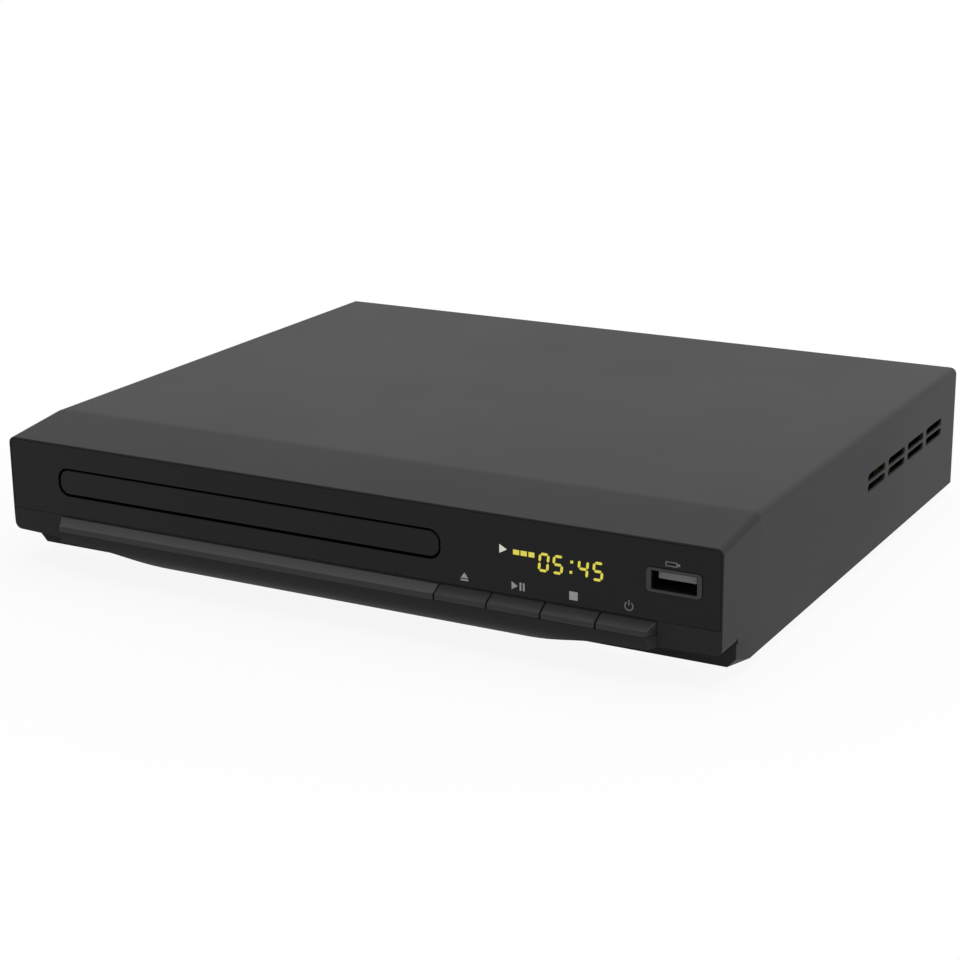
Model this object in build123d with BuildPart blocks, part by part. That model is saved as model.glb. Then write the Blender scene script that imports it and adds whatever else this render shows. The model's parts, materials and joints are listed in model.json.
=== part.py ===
from build123d import *
import os
from math import acos, asin, atan2, cos, degrees, hypot, pi, radians, sin, sqrt, tan

# A compact disc player with a sliding tray, built as it comes apart on a bench.
# Millimetres. +Z is up, +X is to the right as seen from the front, the front faces -Y.
# The origin is on the ground under the middle of the whole object.
# Every place below is given as x across, depth behind the front face, height above the case's underside.

os.makedirs("parts", exist_ok=True)

# ---- Case ----
body_width = 225.0
body_depth = 189.0  # front face to the back edge of the cover
case_height = 37.8
sheet = 0.8  # steel sheet of the cover, pan and rear panel
fold_gap = 0.1  # between sheets that slide into each other
cover_bend = 2.0  # outer radius along the cover's top edges
lip_height = 2.2  # lip that the cover folds down at the back
tab_width = 14.0  # screw tabs of that lip
tab_height = 8.8
cover_screw_inset = 14.5
cover_screw_middle = 24.5
cover_screw_height = 32.0
pan_flange_height = 12.0
jack_reach = 8.2  # phono jacks beyond the back edge of the cover

foot_height = 3.0
foot_radius = 6.0
foot_edge = 0.6
foot_side_inset = 20.5
foot_front_depth = 34.0
foot_rear_inset = 23.0

# ---- Vents ----
vent_columns = 4
vent_rows = 2
vent_length = 15.0
vent_width = 2.4
vent_pitch = 17.8
vent_row_pitch = 3.1
vent_back_inset = 47.9  # middle of the pattern in front of the back edge
vent_height = 22.25
rear_vent_count = 15
rear_vent_pitch = 7.0
rear_vent_width = 2.6
rear_vent_length = 15.0
rear_vent_x = -42.0
rear_vent_height = 16.0
floor_vent_count = 6
floor_vent_pitch = 9.0
floor_vent_length = 15.0
floor_vent_width = 2.6
floor_vent_inset = 16.5
floor_vent_depth = 120.0

# ---- Front moulding ----
front_height = 35.1  # top of the front face, where the bevel starts
bevel_depth = 21.8
fascia_depth = 24.4
fascia_wall = 2.2
front_wall_back = 4.4  # inner face of the front wall
edge_radius = 2.0  # top side edges and lower outer corners
rim_reach = 3.5  # rim that slides under the cover
rim_thickness = 1.5
chin_start = 12.0  # below this height the front curves back
chin_back = 1.6
chin_low = 2.7  # lowest point of the chin
chin_flat_inset = 54.5  # the level middle ends this far from the side
chin_shoulder_inset = 32.5
chin_shoulder_height = 5.8
chin_end_height = 6.8
chin_wall = 2.6
undercut_height = 7.4
plinth_depth = 10.3
plinth_wall = 2.2
plinth_side_wall = 3.6
plinth_corner_inset = 0.4
plinth_corner_depth = 18.6
corner_cut_width = 2.4  # slanted cut under each front corner of the plinth
corner_cut_height = 2.5
inner_floor = 9.4

# ---- Ledge below the front panel ----
bar_reach = 3.5  # ledge in front of the front face
bar_inset = 17.7
bar_mitre = 1.8  # front corners of the ledge are cut back by this much
ledge_top = 13.0
ledge_nose = 11.3
ledge_flat = 0.5
ledge_bottom = 9.6
ledge_radius = 0.6
strip_end = 31.9
strip_gap = 0.2
button_count = 4
button_gap = 0.4
button_lift = 0.08  # free height under a button
button_travel = 0.5
switch_gap = 0.1  # between a fully pressed button and its switch
key_slot_top = 13.2
stop_top = 14.3  # stop flange behind the front wall
stop_gap = 0.15
stop_thickness = 0.8

# ---- Front panel ----
panel_thickness = 2.0
panel_lip = 0.5
panel_gap = 0.1
panel_bottom = 13.5
panel_corner = 1.5
display_from_usb = 34.35
display_height = 24.0
display_width = 36.0
display_tall = 9.0
window_margin = 1.0
receiver_from_usb = 12.15
receiver_height = 24.0
receiver_radius = 2.6
usb_inset = 13.15
usb_height = 24.35
usb_bezel_width = 15.1
usb_bezel_tall = 6.5
usb_bezel_corner = 1.2
usb_bezel_proud = 0.3
usb_shell_width = 13.1
usb_shell_tall = 5.6
usb_shell_wall = 0.3
usb_shell_front = 0.6
usb_shell_length = 14.0
usb_back_wall = 2.0
usb_tongue_width = 10.4
usb_tongue_thickness = 1.84
usb_tongue_setback = 1.4
usb_tongue_gap = 0.9  # under the shell's roof

# ---- Boards ----
board_thickness = 1.6
board_height = 5.8  # underside of the two main boards
board_clear = 0.75  # beside the loader's lugs
board_inset = 4.9
board_gap = 0.5
board_front = 18.0
board_back_gap = 3.0
power_board_width = 23.6
power_board_length = 118.4
standoff_radius = 3.0
screw_inset = 4.0  # from a board's edge
middle_screw_depth = 54.0
rear_screw_depth = 22.0
screw_radius = 1.2
screw_hole = 1.25
screw_clear = 1.6
screw_head_radius = 2.6
screw_head_height = 1.8
screw_length = 4.4
front_board_depth = 9.6
front_board_clear = 1.75
front_board_inset = 3.5
front_board_top = 33.4
front_post_radius = 2.5
front_post_left = 3.0  # from the front board's left edge
front_post_middle = 10.85  # left of the USB port
front_post_right = 4.0  # from the front board's right edge
front_post_heights = (31.2, 30.6, 12.6)
switch_size = 4.5
switch_height = 11.9
switch_body = 3.0
switch_plunger_radius = 1.2

# ---- Parts on the boards ----
# On the main board x is right of its left edge. Depth is in front of the boards' back edge.
chips = (
    # x, depth, width, length, height
    (21.0, 76.4, 16.0, 16.0, 1.6),
    (21.0, 54.4, 18.0, 8.0, 1.2),
    (29.0, 96.4, 8.0, 8.0, 1.6),
    (15.0, 114.4, 12.0, 8.0, 2.2),
    (19.0, 134.4, 20.0, 5.0, 5.0),
)
small_cans = (
    # x, depth, radius, height
    (9.0, 92.4, 3.2, 9.0),
    (9.0, 44.4, 3.2, 9.0),
    (35.0, 124.4, 4.0, 11.0),
    (47.0, 126.4, 4.0, 11.0),
    (33.0, 34.4, 2.5, 6.0),
)
# On the power board x is left of its right edge.
large_cans = (
    # x, depth, radius, height
    (12.6, 40.4, 6.5, 21.0),
    (17.6, 98.4, 4.0, 12.0),
    (17.6, 86.4, 4.0, 12.0),
)
transformer_x = 11.6
transformer_depth = 66.4
transformer_layers = (
    # width, length, height
    (19.0, 20.0, 4.0),
    (17.0, 14.0, 13.0),
    (19.0, 16.0, 3.0),
)
sink_x = 9.6
sink_gap = 6.0  # in front of the transformer
sink_length = 20.0
sink_plate = 2.0
sink_fins = 5
sink_fin_reach = 4.5
sink_fin_thickness = 1.2
sink_tall = 20.0
fuse_x = 19.1
fuse_depth = 30.4
fuse_length = 15.0
fuse_radius = 2.4
fuse_clip_width = 6.0
fuse_clip_length = 4.0
fuse_clip_tall = 4.0
ribbon_height = 15.0
ribbon_depth = 26.0
ribbon_bend = 5.0
ribbon_width = 12.0
ribbon_thickness = 0.4
ribbon_from_display = 3.0

# ---- Rear sockets ----
hdmi_from_jacks = 20.9
hdmi_width = 15.0
hdmi_tall = 5.6
hdmi_length = 11.5
hdmi_wall = 0.4
hdmi_pocket = 9.0
hdmi_proud = 0.6
hdmi_corner = 0.35
hdmi_blade_width = 11.2
hdmi_blade_low = 2.3
hdmi_blade_thickness = 1.3
hdmi_blade_setback = 1.2
jack_from_inlet = 25.6
jack_pitch = 13.0
jack_rows = (14.2, 27.2)
jack_block_depth = 11.0
jack_block_edge = 6.6
jack_radius = 4.15
jack_wall = 0.7
jack_collar = 0.45  # wider where a jack passes through the rear panel
jack_insert_setback = 0.8
jack_pin_radius = 1.6
jack_pin_depth = 8.0
jack_panel_hole = 5.0
inlet_inset = 16.5
inlet_height = 14.4
inlet_width = 20.0
inlet_tall = 12.4
inlet_length = 15.0
inlet_flange_width = 23.0
inlet_flange_tall = 15.4
inlet_flange = 1.6
inlet_pin_pitch = 8.6
inlet_pin_radius = 1.2
inlet_pin_length = 9.0
inlet_lobe = 4.2
inlet_pocket = 12.0
socket_gap = 0.2  # around a socket in the rear panel

# ---- Tray and its slot ----
tray_x = -31.35  # middle of the tray and of the disc
slot_width = 127.5
slot_tall = 8.5
slot_height = 23.75
slot_corner = 3.6
slot_relief = 0.5  # the front moulding's slot is this much wider all round
door_gap = 0.6
door_thickness = 3.2
door_setback = 0.1
door_edge = 0.5
tray_side_gap = 0.95
tray_low_gap = 0.7
tray_tall = 7.0
tray_edge = 1.2  # rounding of its long edges
tray_front = 4.0
tray_travel = 134.0
rack_tail = 4.0  # tray behind the drive gear when it is fully out
disc_depth = 74.0  # disc centre behind the front face, tray shut
disc_recess_radius = 60.5
small_recess_radius = 40.5
disc_recess_drop = 2.6
small_recess_drop = 0.7
tray_floor = 1.9
tray_skin = 1.5
tray_skirt = 2.0
tray_way = 38.0  # open way over the turntable and pickup
finger_radius = 9.0

# ---- Loader frame ----
frame_gap = 0.4  # tray to side wall
frame_wall = 2.4
frame_front = 6.2
frame_back_gap = 3.4  # behind the shut tray
frame_low = 3.0
frame_top = 30.2
frame_step_depth = 13.0  # in front of this the frame clears the plinth
frame_step_height = 9.8
ledge_width = 2.6
ledge_thickness = 2.0
tray_run_gap = 0.05
tab_reach = 1.6
tab_gap = 0.2
tab_thickness = 1.5
tab_spans = ((8.0, 28.0), (118.0, 134.0))
deck_height = 13.5
deck_thickness = 2.0
web_front = 41.0
web_thickness = 2.0
channel_low = 2.6
channel_floor = 1.0
channel_lip = 1.2
channel_lip_height = 1.8
rear_bar_front = 149.0
rear_bar_thickness = 2.5
rear_wall_top = 22.0
lug_reach = 6.0
lug_half = 4.0
lug_thickness = 2.0
lug_depths = (20.0, 154.0)
frame_boss_radius = 3.5

# ---- Tray drive ----
pressure_angle = radians(20)
tooth_thinning = 0.1  # share of the module taken off each tooth for backlash
root_depth = 1.25
short_tip = 0.8  # tip height of a large gear that meets a small pinion
drive_depth = 26.0
rack_offset = 54.95  # rack pitch line left of the tray's middle
rack_module = 1.0
rack_back = 3.9
rack_start_depth = 22.0
rack_clear = 0.1
drive_teeth = 24
reduction_module = 0.75
reduction_teeth = 40
pinion_teeth = 12
run_gap = 0.05  # radial, shafts in bores
axial_gap = 0.1
pin_radius = 1.5
hub_radius = 3.6
pulley_tall = 2.6
pinion_tall = 3.2
wheel_tall = 2.4
drive_gear_tall = 2.8
pulley_radius = 12.0
pulley_groove = 10.45
belt_size = 1.6
belt_slack = 0.05
motor_pulley_radius = 4.2
motor_pulley_groove = 2.95
belt_centres = 33.0
motor_radius = 12.0
motor_tall = 9.8
motor_shaft_radius = 1.0

# ---- Lifting traverse with the pickup ----
disc_lift = 2.0  # turntable above the tray's disc floor
lift_angle = 4.33
pivot_back = 4.6  # pivot behind the traverse's window
pivot_height = 16.0
pivot_pin_radius = 1.5
traverse_half = 52.0
traverse_front = 52.0
traverse_bar = 3.2  # behind the window
traverse_height = 19.0
traverse_plate = 2.0
traverse_rib = 1.6
traverse_rib_low = 15.0
traverse_rib_rear = 108.0
window_half = 28.0
window_front_gap = 1.4
window_rear_gap = 0.9
ear_width = 5.0
ear_gap = 1.0
damper_radius = 4.0
damper_width = 4.0
bracket_width = 4.6
bracket_half = 6.0
bracket_top = 18.4  # lower than the dampers, so that they snap in from above
spindle_motor_radius = 12.0
spindle_motor_low = 11.0
spindle_boss_radius = 4.0
spindle_boss_top = 20.9
spindle_shaft_radius = 1.0
turntable_radius = 14.5
turntable_thickness = 2.4
turntable_hub_radius = 5.0
turntable_hub_low = 21.6
cone_radius = 7.4
cone_top_radius = 5.6
cone_height = 1.8
rod_offset = 17.0
rod_radius = 1.5
rod_height = 16.5
rod_fit = 0.02
holder_half = 2.6
holder_low = 13.8
holder_length = 3.6
lens_inner = 23.0  # lens behind the disc's middle at the inner end of its travel
sled_travel = 35.5
pickup_left = 24.0
pickup_right = 20.0
pickup_front_gap = 0.5  # to the turntable
pickup_rear = 18.0  # behind the lens
pickup_low = 12.0
pickup_top = 22.0
actuator_half = 8.0
actuator_front = 1.0  # behind the pickup's front
actuator_rear = 9.0  # behind the lens
actuator_top = 23.8
lens_radius = 2.4
lens_top = 25.4
lens_collar = 4.0
sled_rack_offset = 26.5
sled_module = 0.8
sled_pinion_teeth = 14
sled_pinion_back = 3.0  # behind the pickup at the inner end of its travel
sled_rack_low = 12.5
sled_rack_tall = 3.0
sled_rack_lead = 2.1  # beyond the teeth that the travel needs
sled_rack_tail = 2.6
sled_arm_root = 0.1  # share of the arm that runs into the pickup's side
sled_wheel_module = 0.5
sled_wheel_teeth = 40
sled_wheel_low = 16.0
sled_wheel_tall = 2.0
sled_motor_teeth = 10
sled_motor_steps = 6  # the motor lies this many wheel teeth round from +X
sled_motor_radius = 10.0
sled_motor_low = 3.8
sled_motor_top = 12.3
sled_pin_radius = 1.0
sled_hub_radius = 2.4
cup_wall = 1.6

# ---- Cam slider ----
cam_travel = 15.0
cam_thickness = 2.0
cam_front = 44.5
cam_low = 3.7
cam_top = 19.4
cam_left = 44.0
cam_right = 33.0
cam_pin_offset = 24.0
cam_pin_height = 16.0
cam_pin_radius = 1.5
cam_slot_gap = 0.35
cam_pin_tip = 43.9
cam_tab_front = 50.0
cam_tab_half = 4.0
cam_tab_low = 13.4

# ---- Clamp above the disc ----
bridge_thickness = 1.0
bridge_half_depth = 15.0
bridge_ring_radius = 19.0
bridge_hole = 11.2
puck_radius = 15.0
puck_low = 27.5
puck_thickness = 1.1
puck_neck = 10.4
puck_flange = 13.0
puck_flange_thickness = 1.5
puck_seat_gap = 0.05
puck_recess_radius = 8.2
puck_recess = 2.6

# ---- Worked out from the sizes above ----
front_y = bar_reach - (bar_reach + body_depth + jack_reach) / 2
half_width = body_width / 2
case_roof = case_height - sheet
inner_half = half_width - sheet
panel_back = body_depth - sheet  # outer face of the rear panel
panel_inner = panel_back - sheet
board_top = board_height + board_thickness
bar_half = half_width - bar_inset
chin_flat = half_width - chin_flat_inset
chin_shoulder_x = half_width - chin_shoulder_inset
plinth_corner_x = half_width - plinth_corner_inset
plinth_inner_x = plinth_corner_x - plinth_side_wall
undercut_x = half_width - fascia_wall
usb_x = half_width - usb_inset
display_x = usb_x - display_from_usb
receiver_x = usb_x - receiver_from_usb
inlet_x = half_width - inlet_inset
jack_x = inlet_x - jack_from_inlet
hdmi_x = jack_x - hdmi_from_jacks
cover_screw_x = (cover_screw_inset - half_width, cover_screw_middle, half_width - cover_screw_inset)
vent_depth = body_depth - vent_back_inset
button_pitch = (bar_half - strip_end) / button_count
button_x = [strip_end + button_pitch * (n + 0.5) for n in range(button_count)]
bevel_slope = (case_height - front_height) / bevel_depth

tray_half = slot_width / 2 - tray_side_gap
tray_low = slot_height - slot_tall / 2 + tray_low_gap
tray_top = tray_low + tray_tall
disc_floor = tray_top - disc_recess_drop
tray_under = disc_floor - tray_floor
disc_seat = disc_floor + disc_lift
tray_rear = drive_depth + tray_travel + rack_tail
frame_inner = tray_half + frame_gap
frame_outer = frame_inner + frame_wall
frame_rear = tray_rear + frame_back_gap

board_left = tray_x + frame_outer + lug_reach + board_clear
board_right = half_width - board_inset
board_split = board_right - power_board_width
board_back = panel_inner - board_back_gap
board_step = board_back - power_board_length
front_board_left = tray_x + frame_outer + front_board_clear
front_board_right = half_width - front_board_inset
front_post_x = (
    front_board_left + front_post_left,
    usb_x - front_post_middle,
    front_board_right - front_post_right,
)
front_posts = list(zip(front_post_x, front_post_heights))

gear_low = deck_height + axial_gap
pinion_low = gear_low + pulley_tall + axial_gap
wheel_low = pinion_low + (pinion_tall - wheel_tall) / 2
drive_radius = rack_module * drive_teeth / 2
drive_x = tray_x - rack_offset + drive_radius
reduction_radius = reduction_module * reduction_teeth / 2
pinion_radius = reduction_module * pinion_teeth / 2
pulley_x = drive_x + reduction_radius + pinion_radius
motor_x = pulley_x + belt_centres
belt_height = gear_low + pulley_tall / 2
belt_inner = pulley_groove + belt_slack
motor_belt_inner = motor_pulley_groove + belt_slack

lens_depth = disc_depth + lens_inner
pickup_front = disc_depth + turntable_radius + pickup_front_gap
pickup_back = lens_depth + pickup_rear
window_front = pickup_front - window_front_gap
window_rear = pickup_back + sled_travel + window_rear_gap
holder_front = window_front - holder_length
traverse_back = window_rear + traverse_bar
pivot_depth = window_rear + pivot_back
sled_pinion_depth = pickup_back + sled_pinion_back
sled_rack_front = sled_pinion_depth - sled_travel - sled_rack_lead
sled_rack_rear = sled_pinion_depth + sled_rack_tail

sled_pinion_radius = sled_module * sled_pinion_teeth / 2
sled_pinion_x = tray_x + sled_rack_offset + sled_pinion_radius
sled_centres = sled_wheel_module * (sled_wheel_teeth + sled_motor_teeth) / 2
sled_motor_angle = 2 * pi * sled_motor_steps / sled_wheel_teeth
sled_motor_x = sled_pinion_x + sled_centres * cos(sled_motor_angle)
sled_motor_depth = sled_pinion_depth + sled_centres * sin(sled_motor_angle)
traverse_top = traverse_height + traverse_plate

# The cam pin sinks by this much when the traverse tips down.
cam_arm = pivot_depth - (cam_front + cam_thickness / 2)
cam_rise = (pivot_height - cam_pin_height) * (1 - cos(radians(lift_angle)))
cam_drop = cam_arm * sin(radians(lift_angle)) - cam_rise

# ---- Planes that the sketches lie on ----
plan = Plane(origin=(0, front_y, foot_height))
front = Plane(origin=(0, front_y, foot_height), x_dir=(1, 0, 0), z_dir=(0, -1, 0))
side = Plane(origin=(0, front_y, foot_height), x_dir=(0, 1, 0), z_dir=(1, 0, 0))
low_corner = (Align.MIN, Align.MIN, Align.MIN)
standing = (Align.CENTER, Align.CENTER, Align.MIN)


def spot(x, depth, height):
    """A place in the model from its place in the case."""
    return (x, front_y + depth, foot_height + height)


def block(x, depth, height, mode=Mode.ADD):
    """A box from three (low, high) pairs."""
    with Locations(spot(x[0], depth[0], height[0])):
        Box(x[1] - x[0], depth[1] - depth[0], height[1] - height[0], align=low_corner, mode=mode)


def post(x, depth, height, radius, mode=Mode.ADD):
    """An upright cylinder between two heights."""
    with Locations(spot(x, depth, height[0])):
        Cylinder(radius, height[1] - height[0], align=standing, mode=mode)


def rod_back(x, depth, height, radius, mode=Mode.ADD):
    """A cylinder that runs from front to back between two depths."""
    with Locations(Location(spot(x, depth[0], height), (-90, 0, 0))):
        Cylinder(radius, depth[1] - depth[0], align=standing, mode=mode)


def rod_across(x, depth, height, radius, mode=Mode.ADD):
    """A cylinder that runs from left to right between two places."""
    with Locations(Location(spot(x[0], depth, height), (0, 90, 0))):
        Cylinder(radius, x[1] - x[0], align=standing, mode=mode)


def mitre(hand):
    """Cuts the front corner off the right (1) or left (-1) end of the ledge."""
    turn = -hand * degrees(atan2(bar_mitre, bar_reach))
    outward = Align.MIN if hand > 0 else Align.MAX
    with Locations(Location(spot(hand * bar_half, 0, 0), (0, 0, turn))):
        Box(bar_inset, 3 * bar_reach, front_height, align=(outward, Align.MAX, Align.MIN), mode=Mode.SUBTRACT)


def both_sides(low, high):
    """The same stretch of x on the right and on the left of the tray's middle."""
    return (tray_x + low, tray_x + high), (tray_x - high, tray_x - low)


def involute(radius, base):
    return sqrt((radius / base) ** 2 - 1) - acos(base / radius)


def gear_outline(module, teeth, turn, tip=1.0):
    """Corners of a spur gear with its first tooth at the angle turn. Flanks are chords of the involute."""
    pitch = module * teeth / 2
    base = pitch * cos(pressure_angle)
    half_pitch_tooth = pi / (2 * teeth) - tooth_thinning * module / (2 * pitch)
    radii = (pitch - root_depth * module, base, pitch, pitch + tip * module)
    flank = [(r, half_pitch_tooth + involute(pitch, base) - involute(max(r, base), base)) for r in radii]
    corners = []
    for n in range(teeth):
        middle = turn + 2 * pi * n / teeth
        for r, half in flank:
            corners.append((r * cos(middle - half), r * sin(middle - half)))
        for r, half in reversed(flank):
            corners.append((r * cos(middle + half), r * sin(middle + half)))
    return corners


def rack_outline(module, first, last, start, end, back, tip=1.0):
    """Corners of a rack along Y whose teeth point to +X. A gap lies at 0 and x = 0 is its pitch line."""
    half = pi * module / 4 - tooth_thinning * module / 2
    lean = tan(pressure_angle)
    low, high = -root_depth * module, tip * module
    corners = [(-back, end), (-back, start), (low, start)]
    for n in range(first, last):
        middle = (n + 0.5) * pi * module
        corners.append((low, middle - half + lean * low))
        corners.append((high, middle - half + lean * high))
        corners.append((high, middle + half - lean * high))
        corners.append((low, middle + half - lean * low))
    corners.append((low, end))
    return corners


def screw_down(x, depth, seat):
    """A pan-head screw whose head rests at the height seat."""
    post(x, depth, (seat - screw_length, seat), screw_radius)
    with Locations(spot(x, depth, seat)):
        Cylinder(screw_head_radius, screw_head_height, align=standing)


# ======== Front moulding ========
with BuildPart() as front_fascia:
    with BuildSketch(side.offset(-half_width)):
        with BuildLine():
            Polyline(
                (0, chin_start),
                (0, front_height),
                (bevel_depth, case_height),
                (fascia_depth, case_height),
                (fascia_depth, 0),
                (plinth_depth, 0),
                (chin_back, 0),
            )
            TangentArc((0, chin_start), (chin_back, 0), tangent=(0, -1))
        make_face()
    extrude(amount=body_width)
    top_edges = [
        edge
        for edge in front_fascia.edges()
        if abs(abs(edge.center().X) - half_width) < 0.01
        and edge.center().Z > foot_height + front_height
        and abs(edge.tangent_at(0.5).X) < 0.01
        and edge.bounding_box().size.Y > edge_radius
    ]
    fillet(top_edges, edge_radius)
    # The ledge stands out below the panel and tucks back under at the chin.
    with BuildSketch(side.offset(-bar_half)):
        with BuildLine():
            Polyline((chin_back, ledge_bottom), (-bar_reach + strip_gap, ledge_bottom))
            ThreePointArc(
                (-bar_reach + strip_gap, ledge_bottom),
                (-bar_reach * 0.72, (ledge_bottom + chin_low) / 2),
                (chin_back * 0.4, chin_low - 0.2),
            )
            Polyline((chin_back * 0.4, chin_low - 0.2), (chin_wall, chin_low - 0.2), (chin_back, ledge_bottom))
        make_face()
    extrude(amount=2 * bar_half)
    # Everything in front of the plinth ends at the chin's smile-shaped lower edge.
    with BuildSketch(front.offset(bar_reach + 1)):
        with BuildLine():
            Line((-chin_flat, chin_low), (chin_flat, chin_low))
            Spline(
                (chin_flat, chin_low),
                (chin_shoulder_x, chin_shoulder_height),
                tangents=((1, 0.03), (1, 0.05)),
            )
            Line((chin_shoulder_x, chin_shoulder_height), (half_width - edge_radius, chin_end_height))
            RadiusArc(
                (half_width - edge_radius, chin_end_height),
                (half_width, chin_end_height + edge_radius),
                -edge_radius,
            )
            Polyline(
                (half_width, chin_end_height + edge_radius),
                (half_width + 1, chin_end_height + edge_radius),
                (half_width + 1, -1),
                (-half_width - 1, -1),
                (-half_width - 1, chin_end_height + edge_radius),
                (-half_width, chin_end_height + edge_radius),
            )
            RadiusArc(
                (-half_width, chin_end_height + edge_radius),
                (-half_width + edge_radius, chin_end_height),
                -edge_radius,
            )
            Line((-half_width + edge_radius, chin_end_height), (-chin_shoulder_x, chin_shoulder_height))
            Spline(
                (-chin_shoulder_x, chin_shoulder_height),
                (-chin_flat, chin_low),
                tangents=((1, -0.05), (1, -0.03)),
            )
        make_face()
    extrude(amount=-(plinth_depth + bar_reach + 1), mode=Mode.SUBTRACT)
    block((-undercut_x, undercut_x), (chin_wall, plinth_depth), (-1, undercut_height), Mode.SUBTRACT)
    # The plinth's corners taper back in plan and are cut off below.
    with BuildSketch(plan.offset(-1)):
        with Locations((0, 0)):
            for hand in (-1, 1):
                Polygon(
                    (hand * plinth_corner_x, plinth_depth - 1),
                    (hand * plinth_corner_x, plinth_depth),
                    (hand * half_width, plinth_corner_depth),
                    (hand * (half_width + 1), plinth_corner_depth),
                    (hand * (half_width + 1), plinth_depth - 1),
                    align=None,
                )
    extrude(amount=chin_end_height + 1, mode=Mode.SUBTRACT)
    for hand in (-1, 1):
        mitre(hand)
        low = Vector(*spot(hand * (plinth_corner_x - corner_cut_width), plinth_depth, 0))
        up = Vector(*spot(hand * plinth_corner_x, plinth_depth, corner_cut_height)) - low
        back = Vector(*spot(hand * half_width, plinth_corner_depth, 0)) - low
        away = back.cross(up) * hand
        with BuildSketch(Plane(origin=low, x_dir=back, z_dir=away)):
            Rectangle(4 * plinth_corner_depth, 2 * plinth_depth)
        extrude(amount=plinth_depth, mode=Mode.SUBTRACT)
    # Hollow behind the front wall, open to the back, and the one inside the plinth, open below too.
    with BuildSketch(side.offset(-half_width + fascia_wall)):
        Polygon(
            (front_wall_back, inner_floor),
            (front_wall_back, front_height + bevel_slope * front_wall_back - fascia_wall),
            (bevel_depth, case_height - fascia_wall),
            (fascia_depth + 1, case_height - fascia_wall),
            (fascia_depth + 1, inner_floor),
            align=None,
        )
    extrude(amount=body_width - 2 * fascia_wall, mode=Mode.SUBTRACT)
    plinth_inner = (plinth_depth + plinth_wall, fascia_depth + 1)
    block((-plinth_inner_x, plinth_inner_x), plinth_inner, (-1, inner_floor + 0.5), Mode.SUBTRACT)
    # Rim that the cover slides over.
    rim_top = case_roof - fold_gap
    rim_half = inner_half - fold_gap
    with BuildSketch(front.offset(-fascia_depth + fascia_wall)):
        with BuildLine():
            Polyline(
                (-rim_half, sheet + fold_gap),
                (-rim_half, rim_top - edge_radius),
                (-rim_half + edge_radius, rim_top),
                (rim_half - edge_radius, rim_top),
                (rim_half, rim_top - edge_radius),
                (rim_half, sheet + fold_gap),
                (rim_half - rim_thickness, sheet + fold_gap),
                (rim_half - rim_thickness, rim_top - rim_thickness),
                (-rim_half + rim_thickness, rim_top - rim_thickness),
                (-rim_half + rim_thickness, sheet + fold_gap),
                close=True,
            )
        make_face()
    extrude(amount=-(rim_reach + fascia_wall))
    # Seat of the front panel, with the slot for the tray, the window and the small openings.
    with BuildSketch(front.offset(bar_reach + 1)):
        seat_top = front_height - panel_lip
        seat_half = half_width - panel_lip
        with Locations((0, (panel_bottom - panel_gap + seat_top) / 2)):
            seat = Rectangle(2 * seat_half, seat_top - panel_bottom + panel_gap)
        fillet(seat.vertices().group_by(Axis.Y)[-1], panel_corner)
    extrude(amount=-(bar_reach + 1 + panel_thickness), mode=Mode.SUBTRACT)
    with BuildSketch(front):
        with Locations((tray_x, slot_height)):
            wide, tall = slot_width + 2 * slot_relief, slot_tall + 2 * slot_relief
            RectangleRounded(wide, tall, slot_corner + slot_relief)
        with Locations((display_x, display_height)):
            Rectangle(display_width - 2 * window_margin, display_tall - 2 * window_margin)
        with Locations((receiver_x, receiver_height)):
            Circle(receiver_radius + run_gap)
        with Locations((usb_x, usb_height)):
            Rectangle(usb_shell_width + 2 * socket_gap, usb_shell_tall + 2 * socket_gap)
        with Locations(((strip_end + bar_half) / 2, (ledge_bottom + key_slot_top) / 2)):
            Rectangle(bar_half - strip_end, key_slot_top - ledge_bottom)
    extrude(amount=-(front_wall_back + 0.5), mode=Mode.SUBTRACT)
    for x, height in front_posts:
        rod_back(x, (front_wall_back - 0.5, front_board_depth), height, front_post_radius)
        rod_back(x, (front_wall_back, front_board_depth + 1), height, screw_hole, Mode.SUBTRACT)
front_fascia.part.label = "front_fascia"
export_step(front_fascia.part, "parts/front_fascia.step")

with BuildPart() as front_panel:
    with BuildSketch(front):
        glass_top = front_height - panel_lip - panel_gap
        glass_half = half_width - panel_lip - panel_gap
        with Locations((0, (panel_bottom + glass_top) / 2)):
            glass = Rectangle(2 * glass_half, glass_top - panel_bottom)
        fillet(glass.vertices().group_by(Axis.Y)[-1], panel_corner - panel_gap)
        with Locations((tray_x, slot_height)):
            RectangleRounded(slot_width, slot_tall, slot_corner, mode=Mode.SUBTRACT)
        with Locations((usb_x, usb_height)):
            RectangleRounded(
                usb_bezel_width + 2 * panel_gap,
                usb_bezel_tall + 2 * panel_gap,
                usb_bezel_corner + panel_gap,
                mode=Mode.SUBTRACT,
            )
    extrude(amount=-panel_thickness)
front_panel.part.label = "front_panel"
export_step(front_panel.part, "parts/front_panel.step")

with BuildPart() as trim_strip:
    with BuildSketch(side.offset(-bar_half)):
        strip = Polygon(
            (0, ledge_bottom),
            (0, ledge_top),
            (-ledge_flat, ledge_top),
            (-bar_reach, ledge_nose),
            (-bar_reach, ledge_bottom),
            align=None,
        )
        fillet(strip.vertices().sort_by(Axis.X)[0:2].sort_by(Axis.Y)[-1], ledge_radius)
    extrude(amount=bar_half + strip_end - strip_gap)
    mitre(-1)
trim_strip.part.label = "trim_strip"
export_step(trim_strip.part, "parts/trim_strip.step")

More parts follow.
